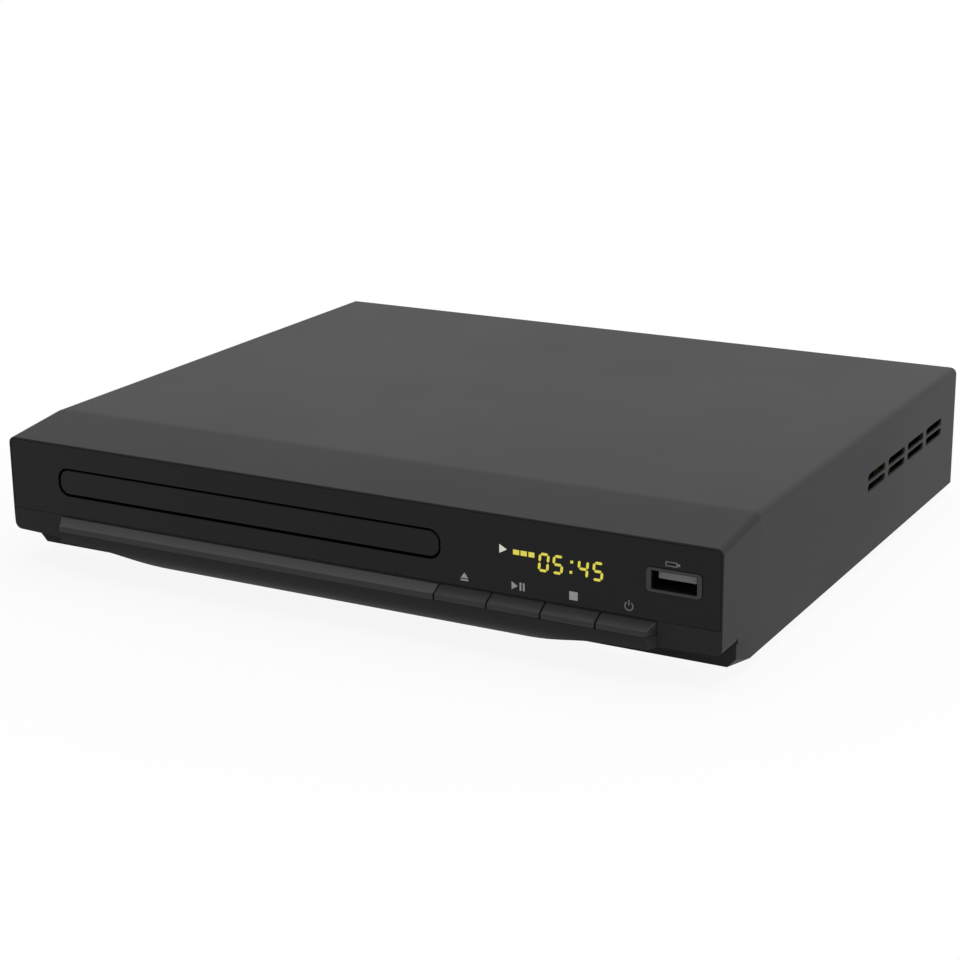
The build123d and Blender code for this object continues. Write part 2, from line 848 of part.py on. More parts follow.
# ======== Buttons: a cap on the ledge, a stop flange behind the front wall and a stem ========
for name, x in zip(("eject_button", "play_button", "stop_button", "power_button"), button_x):
    half_cap = (button_pitch - button_gap) / 2
    cap_low = ledge_bottom + button_lift
    with BuildPart() as button:
        with BuildSketch(side.offset(x - half_cap)):
            cap = Polygon(
                (front_wall_back + stop_gap, cap_low),
                (front_wall_back + stop_gap, ledge_top),
                (-ledge_flat, ledge_top),
                (-bar_reach, ledge_nose),
                (-bar_reach, cap_low),
                align=None,
            )
            fillet(cap.vertices().sort_by(Axis.X)[0:2].sort_by(Axis.Y)[-1], ledge_radius)
        extrude(amount=2 * half_cap)
        stop_back = front_wall_back + stop_gap + stop_thickness
        block((x - half_cap, x + half_cap), (front_wall_back + stop_gap, stop_back), (cap_low, stop_top))
        if x == button_x[-1]:
            mitre(1)
    button.part.label = name
    export_step(button.part, f"parts/{name}.step")

# ======== USB port, display and front board ========
usb_well_width = usb_shell_width - 2 * usb_shell_wall
usb_well_tall = usb_shell_tall - 2 * usb_shell_wall
with BuildPart() as usb_bezel:
    with BuildSketch(front.offset(usb_bezel_proud)):
        with Locations((usb_x, usb_height)):
            RectangleRounded(usb_bezel_width, usb_bezel_tall, usb_bezel_corner)
            Rectangle(usb_well_width, usb_well_tall, mode=Mode.SUBTRACT)
    extrude(amount=-(usb_bezel_proud + usb_shell_front))
    with BuildSketch(front.offset(-usb_shell_front)):
        with Locations((usb_x, usb_height)):
            RectangleRounded(usb_bezel_width, usb_bezel_tall, usb_bezel_corner)
            Rectangle(usb_shell_width + 2 * panel_gap, usb_shell_tall + 2 * panel_gap, mode=Mode.SUBTRACT)
    extrude(amount=-(panel_thickness - usb_shell_front))
usb_bezel.part.label = "usb_bezel"
export_step(usb_bezel.part, "parts/usb_bezel.step")

usb_shell_back = usb_shell_front + usb_shell_length
with BuildPart() as usb_shell:
    with BuildSketch(front.offset(-usb_shell_front)):
        with Locations((usb_x, usb_height)):
            Rectangle(usb_shell_width, usb_shell_tall)
    extrude(amount=-usb_shell_length)
    with BuildSketch(front.offset(-usb_shell_front)):
        with Locations((usb_x, usb_height)):
            Rectangle(usb_well_width, usb_well_tall)
    extrude(amount=-(usb_shell_length - usb_back_wall), mode=Mode.SUBTRACT)
usb_shell.part.label = "usb_shell"
export_step(usb_shell.part, "parts/usb_shell.step")

with BuildPart() as usb_tongue:
    tongue_top = usb_height + usb_shell_tall / 2 - usb_shell_wall - usb_tongue_gap
    block(
        (usb_x - usb_tongue_width / 2, usb_x + usb_tongue_width / 2),
        (usb_shell_front + usb_tongue_setback, usb_shell_back - usb_back_wall),
        (tongue_top - usb_tongue_thickness, tongue_top),
    )
usb_tongue.part.label = "usb_tongue"
export_step(usb_tongue.part, "parts/usb_tongue.step")

with BuildPart() as display_module:
    block(
        (display_x - display_width / 2, display_x + display_width / 2),
        (front_wall_back, front_board_depth),
        (display_height - display_tall / 2, display_height + display_tall / 2),
    )
    lens_half = display_width / 2 - window_margin - panel_gap
    lens_half_tall = display_tall / 2 - window_margin - panel_gap
    block(
        (display_x - lens_half, display_x + lens_half),
        (panel_thickness + panel_gap, front_wall_back),
        (display_height - lens_half_tall, display_height + lens_half_tall),
    )
display_module.part.label = "display_module"
export_step(display_module.part, "parts/display_module.step")

with BuildPart() as ir_receiver:
    block(
        (receiver_x - receiver_radius, receiver_x + receiver_radius),
        (front_wall_back + 1, front_board_depth),
        (receiver_height - receiver_radius, receiver_height + receiver_radius),
    )
    dome = (panel_thickness + panel_gap, front_wall_back + 1)
    rod_back(receiver_x, dome, receiver_height, receiver_radius - run_gap)
ir_receiver.part.label = "ir_receiver"
export_step(ir_receiver.part, "parts/ir_receiver.step")

with BuildPart() as front_pcb:
    block(
        (front_board_left, front_board_right),
        (front_board_depth, front_board_depth + board_thickness),
        (inner_floor + fold_gap, front_board_top),
    )
    block(
        (usb_x - usb_shell_width / 2 - socket_gap, usb_x + usb_shell_width / 2 + socket_gap),
        (front_board_depth - 1, front_board_depth + board_thickness + 1),
        (usb_height - usb_shell_tall / 2, usb_height + usb_shell_tall / 2 + socket_gap),
        Mode.SUBTRACT,
    )
    through = (front_board_depth - 1, front_board_depth + board_thickness + 1)
    for x, height in front_posts:
        rod_back(x, through, height, screw_clear, Mode.SUBTRACT)
front_pcb.part.label = "front_pcb"
export_step(front_pcb.part, "parts/front_pcb.step")

with BuildPart() as tact_switches:
    plunger_tip = front_wall_back + stop_gap + stop_thickness + button_travel + switch_gap
    for x in button_x:
        block(
            (x - switch_size / 2, x + switch_size / 2),
            (front_board_depth - switch_body, front_board_depth),
            (switch_height - switch_size / 2, switch_height + switch_size / 2),
        )
        rod_back(x, (plunger_tip, front_board_depth - switch_body), switch_height, switch_plunger_radius)
tact_switches.part.label = "tact_switches"
export_step(tact_switches.part, "parts/tact_switches.step")

# ======== Bottom pan, rear panel, cover and feet ========
foot_x = half_width - foot_side_inset
frame_lug_x = frame_outer + lug_reach / 2
board_screws = (
    (board_left + screw_inset, board_front + screw_inset),
    (board_right - screw_inset, board_front + screw_inset),
    (board_left + screw_inset, board_step + middle_screw_depth),
    (board_split - screw_inset, board_back - rear_screw_depth),
    (board_split + screw_inset, board_step + 2 * screw_inset),
    (board_right - screw_inset, board_back - rear_screw_depth),
)
frame_screws = [(tray_x + hand * frame_lug_x, depth) for hand in (-1, 1) for depth in lug_depths]

with BuildPart() as bottom_pan:
    pan_half = inner_half - fold_gap
    pan_front = plinth_depth + plinth_wall + fold_gap
    flange_front = fascia_depth + rim_reach + fold_gap
    block((-plinth_inner_x + fold_gap, plinth_inner_x - fold_gap), (pan_front, flange_front), (0, sheet))
    block((-pan_half, pan_half), (flange_front, panel_inner), (0, sheet))
    for hand in (-1, 1):
        low, high = sorted((hand * pan_half, hand * (pan_half - sheet)))
        block((low, high), (flange_front, panel_inner), (0, pan_flange_height))
    for x, depth in board_screws:
        post(x, depth, (sheet / 2, board_height), standoff_radius)
        post(x, depth, (board_height - screw_length, board_height + 1), screw_hole, Mode.SUBTRACT)
    for x, depth in frame_screws:
        post(x, depth, (sheet / 2, frame_low), frame_boss_radius)
        post(x, depth, (-1, frame_low + 1), screw_hole, Mode.SUBTRACT)
    with BuildSketch(plan):
        with Locations((half_width - floor_vent_inset, floor_vent_depth)):
            with GridLocations(0, floor_vent_pitch, 1, floor_vent_count):
                SlotOverall(floor_vent_length, floor_vent_width)
    extrude(amount=sheet, mode=Mode.SUBTRACT)
bottom_pan.part.label = "bottom_pan"
export_step(bottom_pan.part, "parts/bottom_pan.step")

with BuildPart() as feet:
    foot_depths = (foot_front_depth, body_depth - foot_rear_inset)
    foot_places = [(hand * foot_x, depth) for hand in (-1, 1) for depth in foot_depths]
    for x, depth in foot_places:
        post(x, depth, (-foot_height, 0), foot_radius)
    chamfer(feet.edges().group_by(Axis.Z)[0], foot_edge)
feet.part.label = "feet"
export_step(feet.part, "parts/feet.step")

with BuildPart() as rear_panel:
    with BuildSketch(front.offset(-panel_inner)):
        with Locations((0, (case_roof - fold_gap) / 2)):
            back_sheet = Rectangle(2 * (inner_half - fold_gap), case_roof - fold_gap)
        fillet(back_sheet.vertices().group_by(Axis.Y)[-1], cover_bend - sheet)
    extrude(amount=-sheet)
    with BuildSketch(front.offset(-panel_inner)):
        with Locations((hdmi_x, board_top + hdmi_tall / 2)):
            Rectangle(hdmi_width + 2 * socket_gap, hdmi_tall + 2 * socket_gap)
        with Locations(*[(jack_x + n * jack_pitch / 2, row) for n in (-1, 1) for row in jack_rows]):
            Circle(jack_panel_hole)
        with Locations((inlet_x, inlet_height)):
            Rectangle(inlet_width + 2 * socket_gap, inlet_tall + 2 * socket_gap)
        with Locations(*[(x, cover_screw_height) for x in cover_screw_x]):
            Circle(screw_hole)
        with Locations((rear_vent_x, rear_vent_height)):
            with GridLocations(rear_vent_pitch, 0, rear_vent_count, 1):
                SlotOverall(rear_vent_length, rear_vent_width, rotation=90)
    extrude(amount=-sheet, mode=Mode.SUBTRACT)
rear_panel.part.label = "rear_panel"
export_step(rear_panel.part, "parts/rear_panel.step")

with BuildPart() as top_cover:
    block((-half_width, half_width), (fascia_depth, body_depth), (0, case_height))
    long_top = top_cover.edges().filter_by(Axis.Y).group_by(Axis.Z)[-1]
    fillet(long_top, cover_bend)
    with BuildSketch(front.offset(-fascia_depth)):
        with Locations((0, (case_roof - 1) / 2)):
            hollow = Rectangle(2 * inner_half, case_roof + 1)
        fillet(hollow.vertices().group_by(Axis.Y)[-1], cover_bend - sheet)
    extrude(amount=-(body_depth - fascia_depth), mode=Mode.SUBTRACT)
    block((-inner_half, inner_half), (panel_back, body_depth), (case_roof - lip_height, case_roof))
    for x in cover_screw_x:
        tab = (case_roof - tab_height, case_roof)
        block((x - tab_width / 2, x + tab_width / 2), (panel_back, body_depth), tab)
    with BuildSketch(front.offset(-panel_back)):
        with Locations(*[(x, cover_screw_height) for x in cover_screw_x]):
            Circle(screw_clear)
    extrude(amount=-sheet, mode=Mode.SUBTRACT)
    with BuildSketch(side.offset(-half_width - 1)):
        with Locations((vent_depth, vent_height)):
            with GridLocations(vent_pitch, vent_row_pitch, vent_columns, vent_rows):
                SlotOverall(vent_length, vent_width)
    extrude(amount=body_width + 2, mode=Mode.SUBTRACT)
top_cover.part.label = "top_cover"
export_step(top_cover.part, "parts/top_cover.step")

with BuildPart() as cover_screws:
    for x in cover_screw_x:
        rod_back(x, (body_depth - screw_length, body_depth), cover_screw_height, screw_radius)
        rod_back(x, (body_depth, body_depth + screw_head_height), cover_screw_height, screw_head_radius)
    fillet(cover_screws.faces().sort_by(Axis.Y)[-len(cover_screw_x):].edges(), screw_head_height / 3)
cover_screws.part.label = "cover_screws"
export_step(cover_screws.part, "parts/cover_screws.step")

# ======== Main board, power board and what stands on them ========
with BuildPart() as main_pcb:
    block((board_left, board_right), (board_front, board_step), (board_height, board_top))
    block((board_left, board_split - board_gap), (board_step, board_back), (board_height, board_top))
    for x, depth in board_screws[:4]:
        post(x, depth, (board_height, board_top), screw_clear, Mode.SUBTRACT)
main_pcb.part.label = "main_pcb"
export_step(main_pcb.part, "parts/main_pcb.step")

with BuildPart() as main_chips:
    for right, before, wide, long, tall in chips:
        x, depth = board_left + right, board_back - before
        top = board_top + tall
        block((x - wide / 2, x + wide / 2), (depth - long / 2, depth + long / 2), (board_top, top))
main_chips.part.label = "main_chips"
export_step(main_chips.part, "parts/main_chips.step")

with BuildPart() as main_capacitors:
    for right, before, radius, tall in small_cans:
        post(board_left + right, board_back - before, (board_top, board_top + tall), radius)
main_capacitors.part.label = "main_capacitors"
export_step(main_capacitors.part, "parts/main_capacitors.step")

with BuildPart() as power_pcb:
    block((board_split, board_right), (board_step + board_gap, board_back), (board_height, board_top))
    for x, depth in board_screws[4:]:
        post(x, depth, (board_height, board_top), screw_clear, Mode.SUBTRACT)
power_pcb.part.label = "power_pcb"
export_step(power_pcb.part, "parts/power_pcb.step")

with BuildPart() as transformer:
    layer_low = board_top
    for wide, long, tall in transformer_layers:
        with Locations(spot(board_right - transformer_x, board_back - transformer_depth, layer_low)):
            Box(wide, long, tall, align=standing)
        layer_low += tall
transformer.part.label = "transformer"
export_step(transformer.part, "parts/transformer.step")

with BuildPart() as power_capacitors:
    for left, before, radius, tall in large_cans:
        post(board_right - left, board_back - before, (board_top, board_top + tall), radius)
power_capacitors.part.label = "power_capacitors"
export_step(power_capacitors.part, "parts/power_capacitors.step")

with BuildPart() as heat_sink:
    sink_left = board_right - sink_x
    sink_fin_x = (sink_left + sink_plate, sink_left + sink_plate + sink_fin_reach)
    sink_front = board_back - transformer_depth - transformer_layers[0][1] / 2 - sink_gap - sink_length
    sink_heights = (board_top, board_top + sink_tall)
    block((sink_left, sink_left + sink_plate), (sink_front, sink_front + sink_length), sink_heights)
    for n in range(sink_fins):
        fin_front = sink_front + n * sink_length / sink_fins
        block(sink_fin_x, (fin_front, fin_front + sink_fin_thickness), sink_heights)
heat_sink.part.label = "heat_sink"
export_step(heat_sink.part, "parts/heat_sink.step")

with BuildPart() as fuse:
    fuse_middle = board_right - fuse_x
    fuse_front = board_back - fuse_depth
    fuse_back = fuse_front + fuse_length
    clip_heights = (board_top, board_top + fuse_clip_tall)
    rod_back(fuse_middle, (fuse_front, fuse_back), board_top + fuse_clip_tall, fuse_radius)
    for clip in ((fuse_front, fuse_front + fuse_clip_length), (fuse_back - fuse_clip_length, fuse_back)):
        block((fuse_middle - fuse_clip_width / 2, fuse_middle + fuse_clip_width / 2), clip, clip_heights)
fuse.part.label = "fuse"
export_step(fuse.part, "parts/fuse.step")

with BuildPart() as front_ribbon:
    with BuildSketch(side.offset(display_x - ribbon_from_display - ribbon_width / 2)):
        with BuildLine():
            FilletPolyline(
                (front_board_depth + board_thickness, ribbon_height),
                (ribbon_depth, ribbon_height),
                (ribbon_depth, board_top),
                radius=ribbon_bend,
            )
            FilletPolyline(
                (front_board_depth + board_thickness, ribbon_height - ribbon_thickness),
                (ribbon_depth - ribbon_thickness, ribbon_height - ribbon_thickness),
                (ribbon_depth - ribbon_thickness, board_top),
                radius=ribbon_bend - ribbon_thickness,
            )
            Line((ribbon_depth, board_top), (ribbon_depth - ribbon_thickness, board_top))
            Line(
                (front_board_depth + board_thickness, ribbon_height),
                (front_board_depth + board_thickness, ribbon_height - ribbon_thickness),
            )
        make_face()
    extrude(amount=ribbon_width)
front_ribbon.part.label = "front_ribbon"
export_step(front_ribbon.part, "parts/front_ribbon.step")

# ======== Sockets in the rear panel ========
with BuildPart() as hdmi_socket:
    hdmi_front = panel_back + hdmi_proud
    hdmi_span = (hdmi_x - hdmi_width / 2, hdmi_x + hdmi_width / 2)
    block(hdmi_span, (hdmi_front - hdmi_length, hdmi_front), (board_top, board_top + hdmi_tall))
    block(
        (hdmi_span[0] + hdmi_wall, hdmi_span[1] - hdmi_wall),
        (hdmi_front - hdmi_pocket, hdmi_front + 1),
        (board_top + hdmi_wall, board_top + hdmi_tall - hdmi_wall),
        Mode.SUBTRACT,
    )
    hdmi_edges = hdmi_socket.edges().filter_by(Axis.Y).group_by(Axis.Z)[0]
    chamfer(hdmi_edges, hdmi_corner)
    block(
        (hdmi_x - hdmi_blade_width / 2, hdmi_x + hdmi_blade_width / 2),
        (hdmi_front - hdmi_pocket, hdmi_front - hdmi_blade_setback),
        (board_top + hdmi_blade_low, board_top + hdmi_blade_low + hdmi_blade_thickness),
    )
hdmi_socket.part.label = "hdmi_socket"
export_step(hdmi_socket.part, "parts/hdmi_socket.step")

with BuildPart() as jack_block:
    block(
        (jack_x - jack_pitch / 2 - jack_block_edge, jack_x + jack_pitch / 2 + jack_block_edge),
        (panel_inner - jack_block_depth, panel_inner),
        (board_top, jack_rows[1] + jack_block_edge),
    )
jack_block.part.label = "jack_block"
export_step(jack_block.part, "parts/jack_block.step")

jack_front = body_depth + jack_reach
with BuildPart() as jack_shells:
    for n in (-1, 1):
        for row in jack_rows:
            x = jack_x + n * jack_pitch / 2
            rod_back(x, (panel_inner, body_depth), row, jack_radius + jack_collar)
            rod_back(x, (body_depth, jack_front), row, jack_radius)
            rod_back(x, (panel_inner - 1, jack_front + 1), row, jack_radius - jack_wall, Mode.SUBTRACT)
jack_shells.part.label = "jack_shells"
export_step(jack_shells.part, "parts/jack_shells.step")

insert_places = (
    ("video_insert", -1, jack_rows[1]),
    ("coax_insert", 1, jack_rows[1]),
    ("audio_left_insert", -1, jack_rows[0]),
    ("audio_right_insert", 1, jack_rows[0]),
)
for name, n, row in insert_places:
    with BuildPart() as insert:
        x = jack_x + n * jack_pitch / 2
        rod_back(x, (panel_inner, jack_front - jack_insert_setback), row, jack_radius - jack_wall)
        hole = (jack_front - jack_insert_setback - jack_pin_depth, jack_front)
        rod_back(x, hole, row, jack_pin_radius, Mode.SUBTRACT)
    insert.part.label = name
    export_step(insert.part, f"parts/{name}.step")

with BuildPart() as mains_inlet:
    inlet_front = panel_back + inlet_flange
    block(
        (inlet_x - inlet_width / 2, inlet_x + inlet_width / 2),
        (inlet_front - inlet_length, panel_back),
        (inlet_height - inlet_tall / 2, inlet_height + inlet_tall / 2),
    )
    block(
        (inlet_x - inlet_flange_width / 2, inlet_x + inlet_flange_width / 2),
        (panel_back, inlet_front),
        (inlet_height - inlet_flange_tall / 2, inlet_height + inlet_flange_tall / 2),
    )
    with BuildSketch(front.offset(-inlet_front)):
        with Locations((inlet_x, inlet_height)):
            SlotCenterToCenter(inlet_pin_pitch, 2 * inlet_lobe)
    extrude(amount=inlet_pocket, mode=Mode.SUBTRACT)
mains_inlet.part.label = "mains_inlet"
export_step(mains_inlet.part, "parts/mains_inlet.step")

with BuildPart() as inlet_pins:
    pocket_floor = inlet_front - inlet_pocket
    for n in (-1, 1):
        pin_x = inlet_x + n * inlet_pin_pitch / 2
        rod_back(pin_x, (pocket_floor, pocket_floor + inlet_pin_length), inlet_height, inlet_pin_radius)
    fillet(inlet_pins.faces().sort_by(Axis.Y)[-2:].edges(), inlet_pin_radius / 2)
inlet_pins.part.label = "inlet_pins"
export_step(inlet_pins.part, "parts/inlet_pins.step")

# ======== Loader frame ========
with BuildPart() as loader_frame:
    for wall in both_sides(frame_inner, frame_outer):
        block(wall, (frame_front, frame_rear), (frame_step_height, frame_top))
        block(wall, (frame_step_depth, frame_rear), (frame_low, frame_step_height))
    ledge_height = tray_low - tray_run_gap
    for runner in both_sides(frame_inner - ledge_width, frame_inner):
        block(runner, (frame_front, tray_rear), (ledge_height - ledge_thickness, ledge_height))
    for tab in both_sides(frame_inner - tab_reach, frame_inner):
        for span in tab_spans:
            block(tab, span, (tray_top + tab_gap, tray_top + tab_gap + tab_thickness))
    whole = (tray_x - frame_inner, tray_x + frame_inner)
    block(whole, (frame_front, web_front + web_thickness), (deck_height - deck_thickness, deck_height))
    post(motor_x, drive_depth, (deck_height - deck_thickness, deck_height), hub_radius, Mode.SUBTRACT)
    block(whole, (web_front, web_front + web_thickness), (channel_low, deck_height))
    channel_back = cam_front + cam_thickness + 2 * axial_gap + channel_lip
    block(whole, (web_front, channel_back), (channel_low, channel_low + channel_floor))
    lip_heights = (channel_low, channel_low + channel_floor + channel_lip_height)
    block(whole, (cam_front - 2 * axial_gap - channel_lip, cam_front - 2 * axial_gap), lip_heights)
    block(whole, (channel_back - channel_lip, channel_back), lip_heights)
    block(whole, (rear_bar_front, frame_rear), (frame_low, frame_low + rear_bar_thickness))
    block(whole, (frame_rear - frame_wall + 0.4, frame_rear), (frame_low, rear_wall_top))
    # Brackets that hold the rubber dampers of the traverse.
    bracket_in = traverse_half + ear_gap
    for bracket in both_sides(bracket_in, bracket_in + bracket_width):
        block(
            bracket,
            (pivot_depth - bracket_half, pivot_depth + bracket_half),
            (frame_low, bracket_top),
        )
        rod_across(bracket, pivot_depth, pivot_height, damper_radius, Mode.SUBTRACT)
    # Gear pins, and lugs that stand on the pan's bosses.
    post(drive_x, drive_depth, (deck_height, tray_under - 0.4), pin_radius)
    post(pulley_x, drive_depth, (deck_height, pinion_low + pinion_tall + 0.4), pin_radius)
    for lug in both_sides(frame_outer - 0.5, frame_outer + lug_reach):
        for depth in lug_depths:
            block(lug, (depth - lug_half, depth + lug_half), (frame_low, frame_low + lug_thickness))
    for x, depth in frame_screws:
        post(x, depth, (frame_low, frame_low + lug_thickness), screw_clear, Mode.SUBTRACT)
loader_frame.part.label = "loader_frame"
export_step(loader_frame.part, "parts/loader_frame.step")

# ======== Tray and its door ========
with BuildPart() as disc_tray:
    with BuildSketch(front.offset(-tray_front)):
        with Locations((tray_x, (tray_low + tray_top) / 2)):
            RectangleRounded(2 * tray_half, tray_tall, tray_edge)
    extrude(amount=tray_front - tray_rear)
    under_half = tray_half - tray_skirt
    under = (tray_front + tray_skirt, tray_rear + 1)
    block((tray_x - under_half, tray_x + under_half), under, (tray_low - 1, tray_under), Mode.SUBTRACT)
    # The corners beside the round recess are hollow from below.
    with BuildSketch(plan.offset(tray_under)):
        with Locations((tray_x, (tray_front + tray_skirt + tray_rear - tray_skirt) / 2)):
            Rectangle(2 * under_half, tray_rear - tray_front - 2 * tray_skirt)
        with Locations((tray_x, disc_depth)):
            Circle(disc_recess_radius + tray_skin, mode=Mode.SUBTRACT)
    extrude(amount=tray_top - tray_skin - tray_under, mode=Mode.SUBTRACT)
    post(tray_x, disc_depth, (disc_floor, tray_top + 1), disc_recess_radius, Mode.SUBTRACT)
    post(tray_x, disc_depth, (disc_floor - small_recess_drop, tray_top + 1), small_recess_radius, Mode.SUBTRACT)
    # Finger scoops at the recess's edge.
    scoop = disc_recess_radius * cos(pi / 4) + 2.0
    for hand in (-1, 1):
        post(tray_x + hand * scoop, disc_depth - scoop, (disc_floor, tray_top + 1), finger_radius, Mode.SUBTRACT)
    # Open way for the turntable and the pickup, out through the back.
    post(tray_x, disc_depth, (tray_low - 1, tray_top + 1), tray_way / 2, Mode.SUBTRACT)
    way = (tray_x - tray_way / 2, tray_x + tray_way / 2)
    block(way, (disc_depth, tray_rear + 1), (tray_low - 1, tray_top + 1), Mode.SUBTRACT)
    # Rack under the left side.
    rack_pitch = pi * rack_module
    with BuildSketch(plan.offset(tray_low + rack_clear)):
        with Locations((tray_x - rack_offset, drive_depth)):
            Polygon(
                *rack_outline(
                    rack_module,
                    -1,
                    int((tray_rear - drive_depth) / rack_pitch),
                    rack_start_depth - drive_depth,
                    tray_rear - drive_depth,
                    rack_back,
                ),
                align=None,
            )
    extrude(amount=tray_under - tray_low - rack_clear)
disc_tray.part.label = "disc_tray"
export_step(disc_tray.part, "parts/disc_tray.step")

with BuildPart() as tray_door:
    with BuildSketch(front.offset(-door_setback)):
        with Locations((tray_x, slot_height)):
            RectangleRounded(slot_width - 2 * door_gap, slot_tall - 2 * door_gap, slot_corner - door_gap)
    extrude(amount=-door_thickness)
    fillet(tray_door.faces().sort_by(Axis.Y)[0].edges(), door_edge)
    block(
        (tray_x - tray_half + 1, tray_x + tray_half - 1),
        (door_setback + door_thickness, tray_front),
        (tray_low + 0.4, tray_top - 0.4),
    )
tray_door.part.label = "tray_door"
export_step(tray_door.part, "parts/tray_door.step")

# ======== Tray drive: motor, belt and gears ========
with BuildPart() as drive_gear:
    with BuildSketch(plan.offset(wheel_low)):
        with Locations((drive_x, drive_depth)):
            Polygon(*gear_outline(reduction_module, reduction_teeth, 0, short_tip), align=None)
    extrude(amount=wheel_tall)
    with BuildSketch(plan.offset(tray_under - axial_gap - drive_gear_tall)):
        with Locations((drive_x, drive_depth)):
            Polygon(*gear_outline(rack_module, drive_teeth, pi), align=None)
    extrude(amount=drive_gear_tall)
    post(drive_x, drive_depth, (gear_low, tray_under - axial_gap), hub_radius)
    post(drive_x, drive_depth, (gear_low - 1, tray_under + 1), pin_radius + run_gap, Mode.SUBTRACT)
drive_gear.part.label = "drive_gear"
export_step(drive_gear.part, "parts/drive_gear.step")

with BuildPart() as pulley_gear:
    pulley_turn = pi + pi / pinion_teeth
    with BuildSketch(plan.offset(pinion_low - axial_gap)):
        with Locations((pulley_x, drive_depth)):
            Polygon(*gear_outline(reduction_module, pinion_teeth, pulley_turn), align=None)
    extrude(amount=pinion_tall + axial_gap)
    post(pulley_x, drive_depth, (gear_low, gear_low + pulley_tall), pulley_groove)
    for low, high in ((0, 0.45), (pulley_tall - 0.45, pulley_tall)):
        post(pulley_x, drive_depth, (gear_low + low, gear_low + high), pulley_radius)
    bore = (gear_low - 1, pinion_low + pinion_tall + 1)
    post(pulley_x, drive_depth, bore, pin_radius + run_gap, Mode.SUBTRACT)
pulley_gear.part.label = "pulley_gear"
export_step(pulley_gear.part, "parts/pulley_gear.step")

with BuildPart() as motor_pulley:
    post(motor_x, drive_depth, (gear_low, gear_low + pulley_tall), motor_pulley_groove)
    for low, high in ((0, 0.45), (pulley_tall - 0.45, pulley_tall)):
        post(motor_x, drive_depth, (gear_low + low, gear_low + high), motor_pulley_radius)
    shaft_low = deck_height - deck_thickness - axial_gap - motor_tall / 2
    post(motor_x, drive_depth, (shaft_low, gear_low + 0.5), motor_shaft_radius)
motor_pulley.part.label = "motor_pulley"
export_step(motor_pulley.part, "parts/motor_pulley.step")

with BuildPart() as loading_motor:
    motor_top = deck_height - deck_thickness
    post(motor_x, drive_depth, (motor_top - motor_tall, motor_top), motor_radius)
    post(motor_x, drive_depth, (motor_top, deck_height), hub_radius - 2 * run_gap)
    fillet(loading_motor.edges().group_by(Axis.Z)[0], 0.8)
    bore = (shaft_low - axial_gap, deck_height + 1)
    post(motor_x, drive_depth, bore, motor_shaft_radius + run_gap, Mode.SUBTRACT)
loading_motor.part.label = "loading_motor"
export_step(loading_motor.part, "parts/loading_motor.step")

with BuildPart() as drive_belt:
    with BuildSketch(plan.offset(belt_height - belt_size / 2)):
        with Locations((pulley_x, drive_depth)):
            Circle(belt_inner + belt_size)
        with Locations((motor_x, drive_depth)):
            Circle(motor_belt_inner + belt_size)
        make_hull()
    extrude(amount=belt_size)
    with BuildSketch(plan.offset(belt_height - belt_size / 2)):
        with Locations((pulley_x, drive_depth)):
            Circle(belt_inner)
        with Locations((motor_x, drive_depth)):
            Circle(motor_belt_inner)
        make_hull()
    extrude(amount=belt_size, mode=Mode.SUBTRACT)
drive_belt.part.label = "drive_belt"
export_step(drive_belt.part, "parts/drive_belt.step")

# ======== Cam slider that lifts the traverse ========
with BuildPart() as cam_slider:
    block((tray_x - cam_left, tray_x + cam_right), (cam_front, cam_front + cam_thickness), (cam_low, cam_top))
    slope = degrees(atan2(cam_drop, cam_travel))
    with BuildSketch(front.offset(-cam_front)):
        for n in (-1, 1):
            pin_x = tray_x + n * cam_pin_offset
            with Locations((pin_x - cam_travel / 2, cam_pin_height - cam_drop / 2)):
                slot_wide = 2 * (cam_pin_radius + cam_slot_gap)
                SlotCenterToCenter(hypot(cam_travel, cam_drop), slot_wide, rotation=slope)
    extrude(amount=-cam_thickness, mode=Mode.SUBTRACT)
cam_slider.part.label = "cam_slider"
export_step(cam_slider.part, "parts/cam_slider.step")

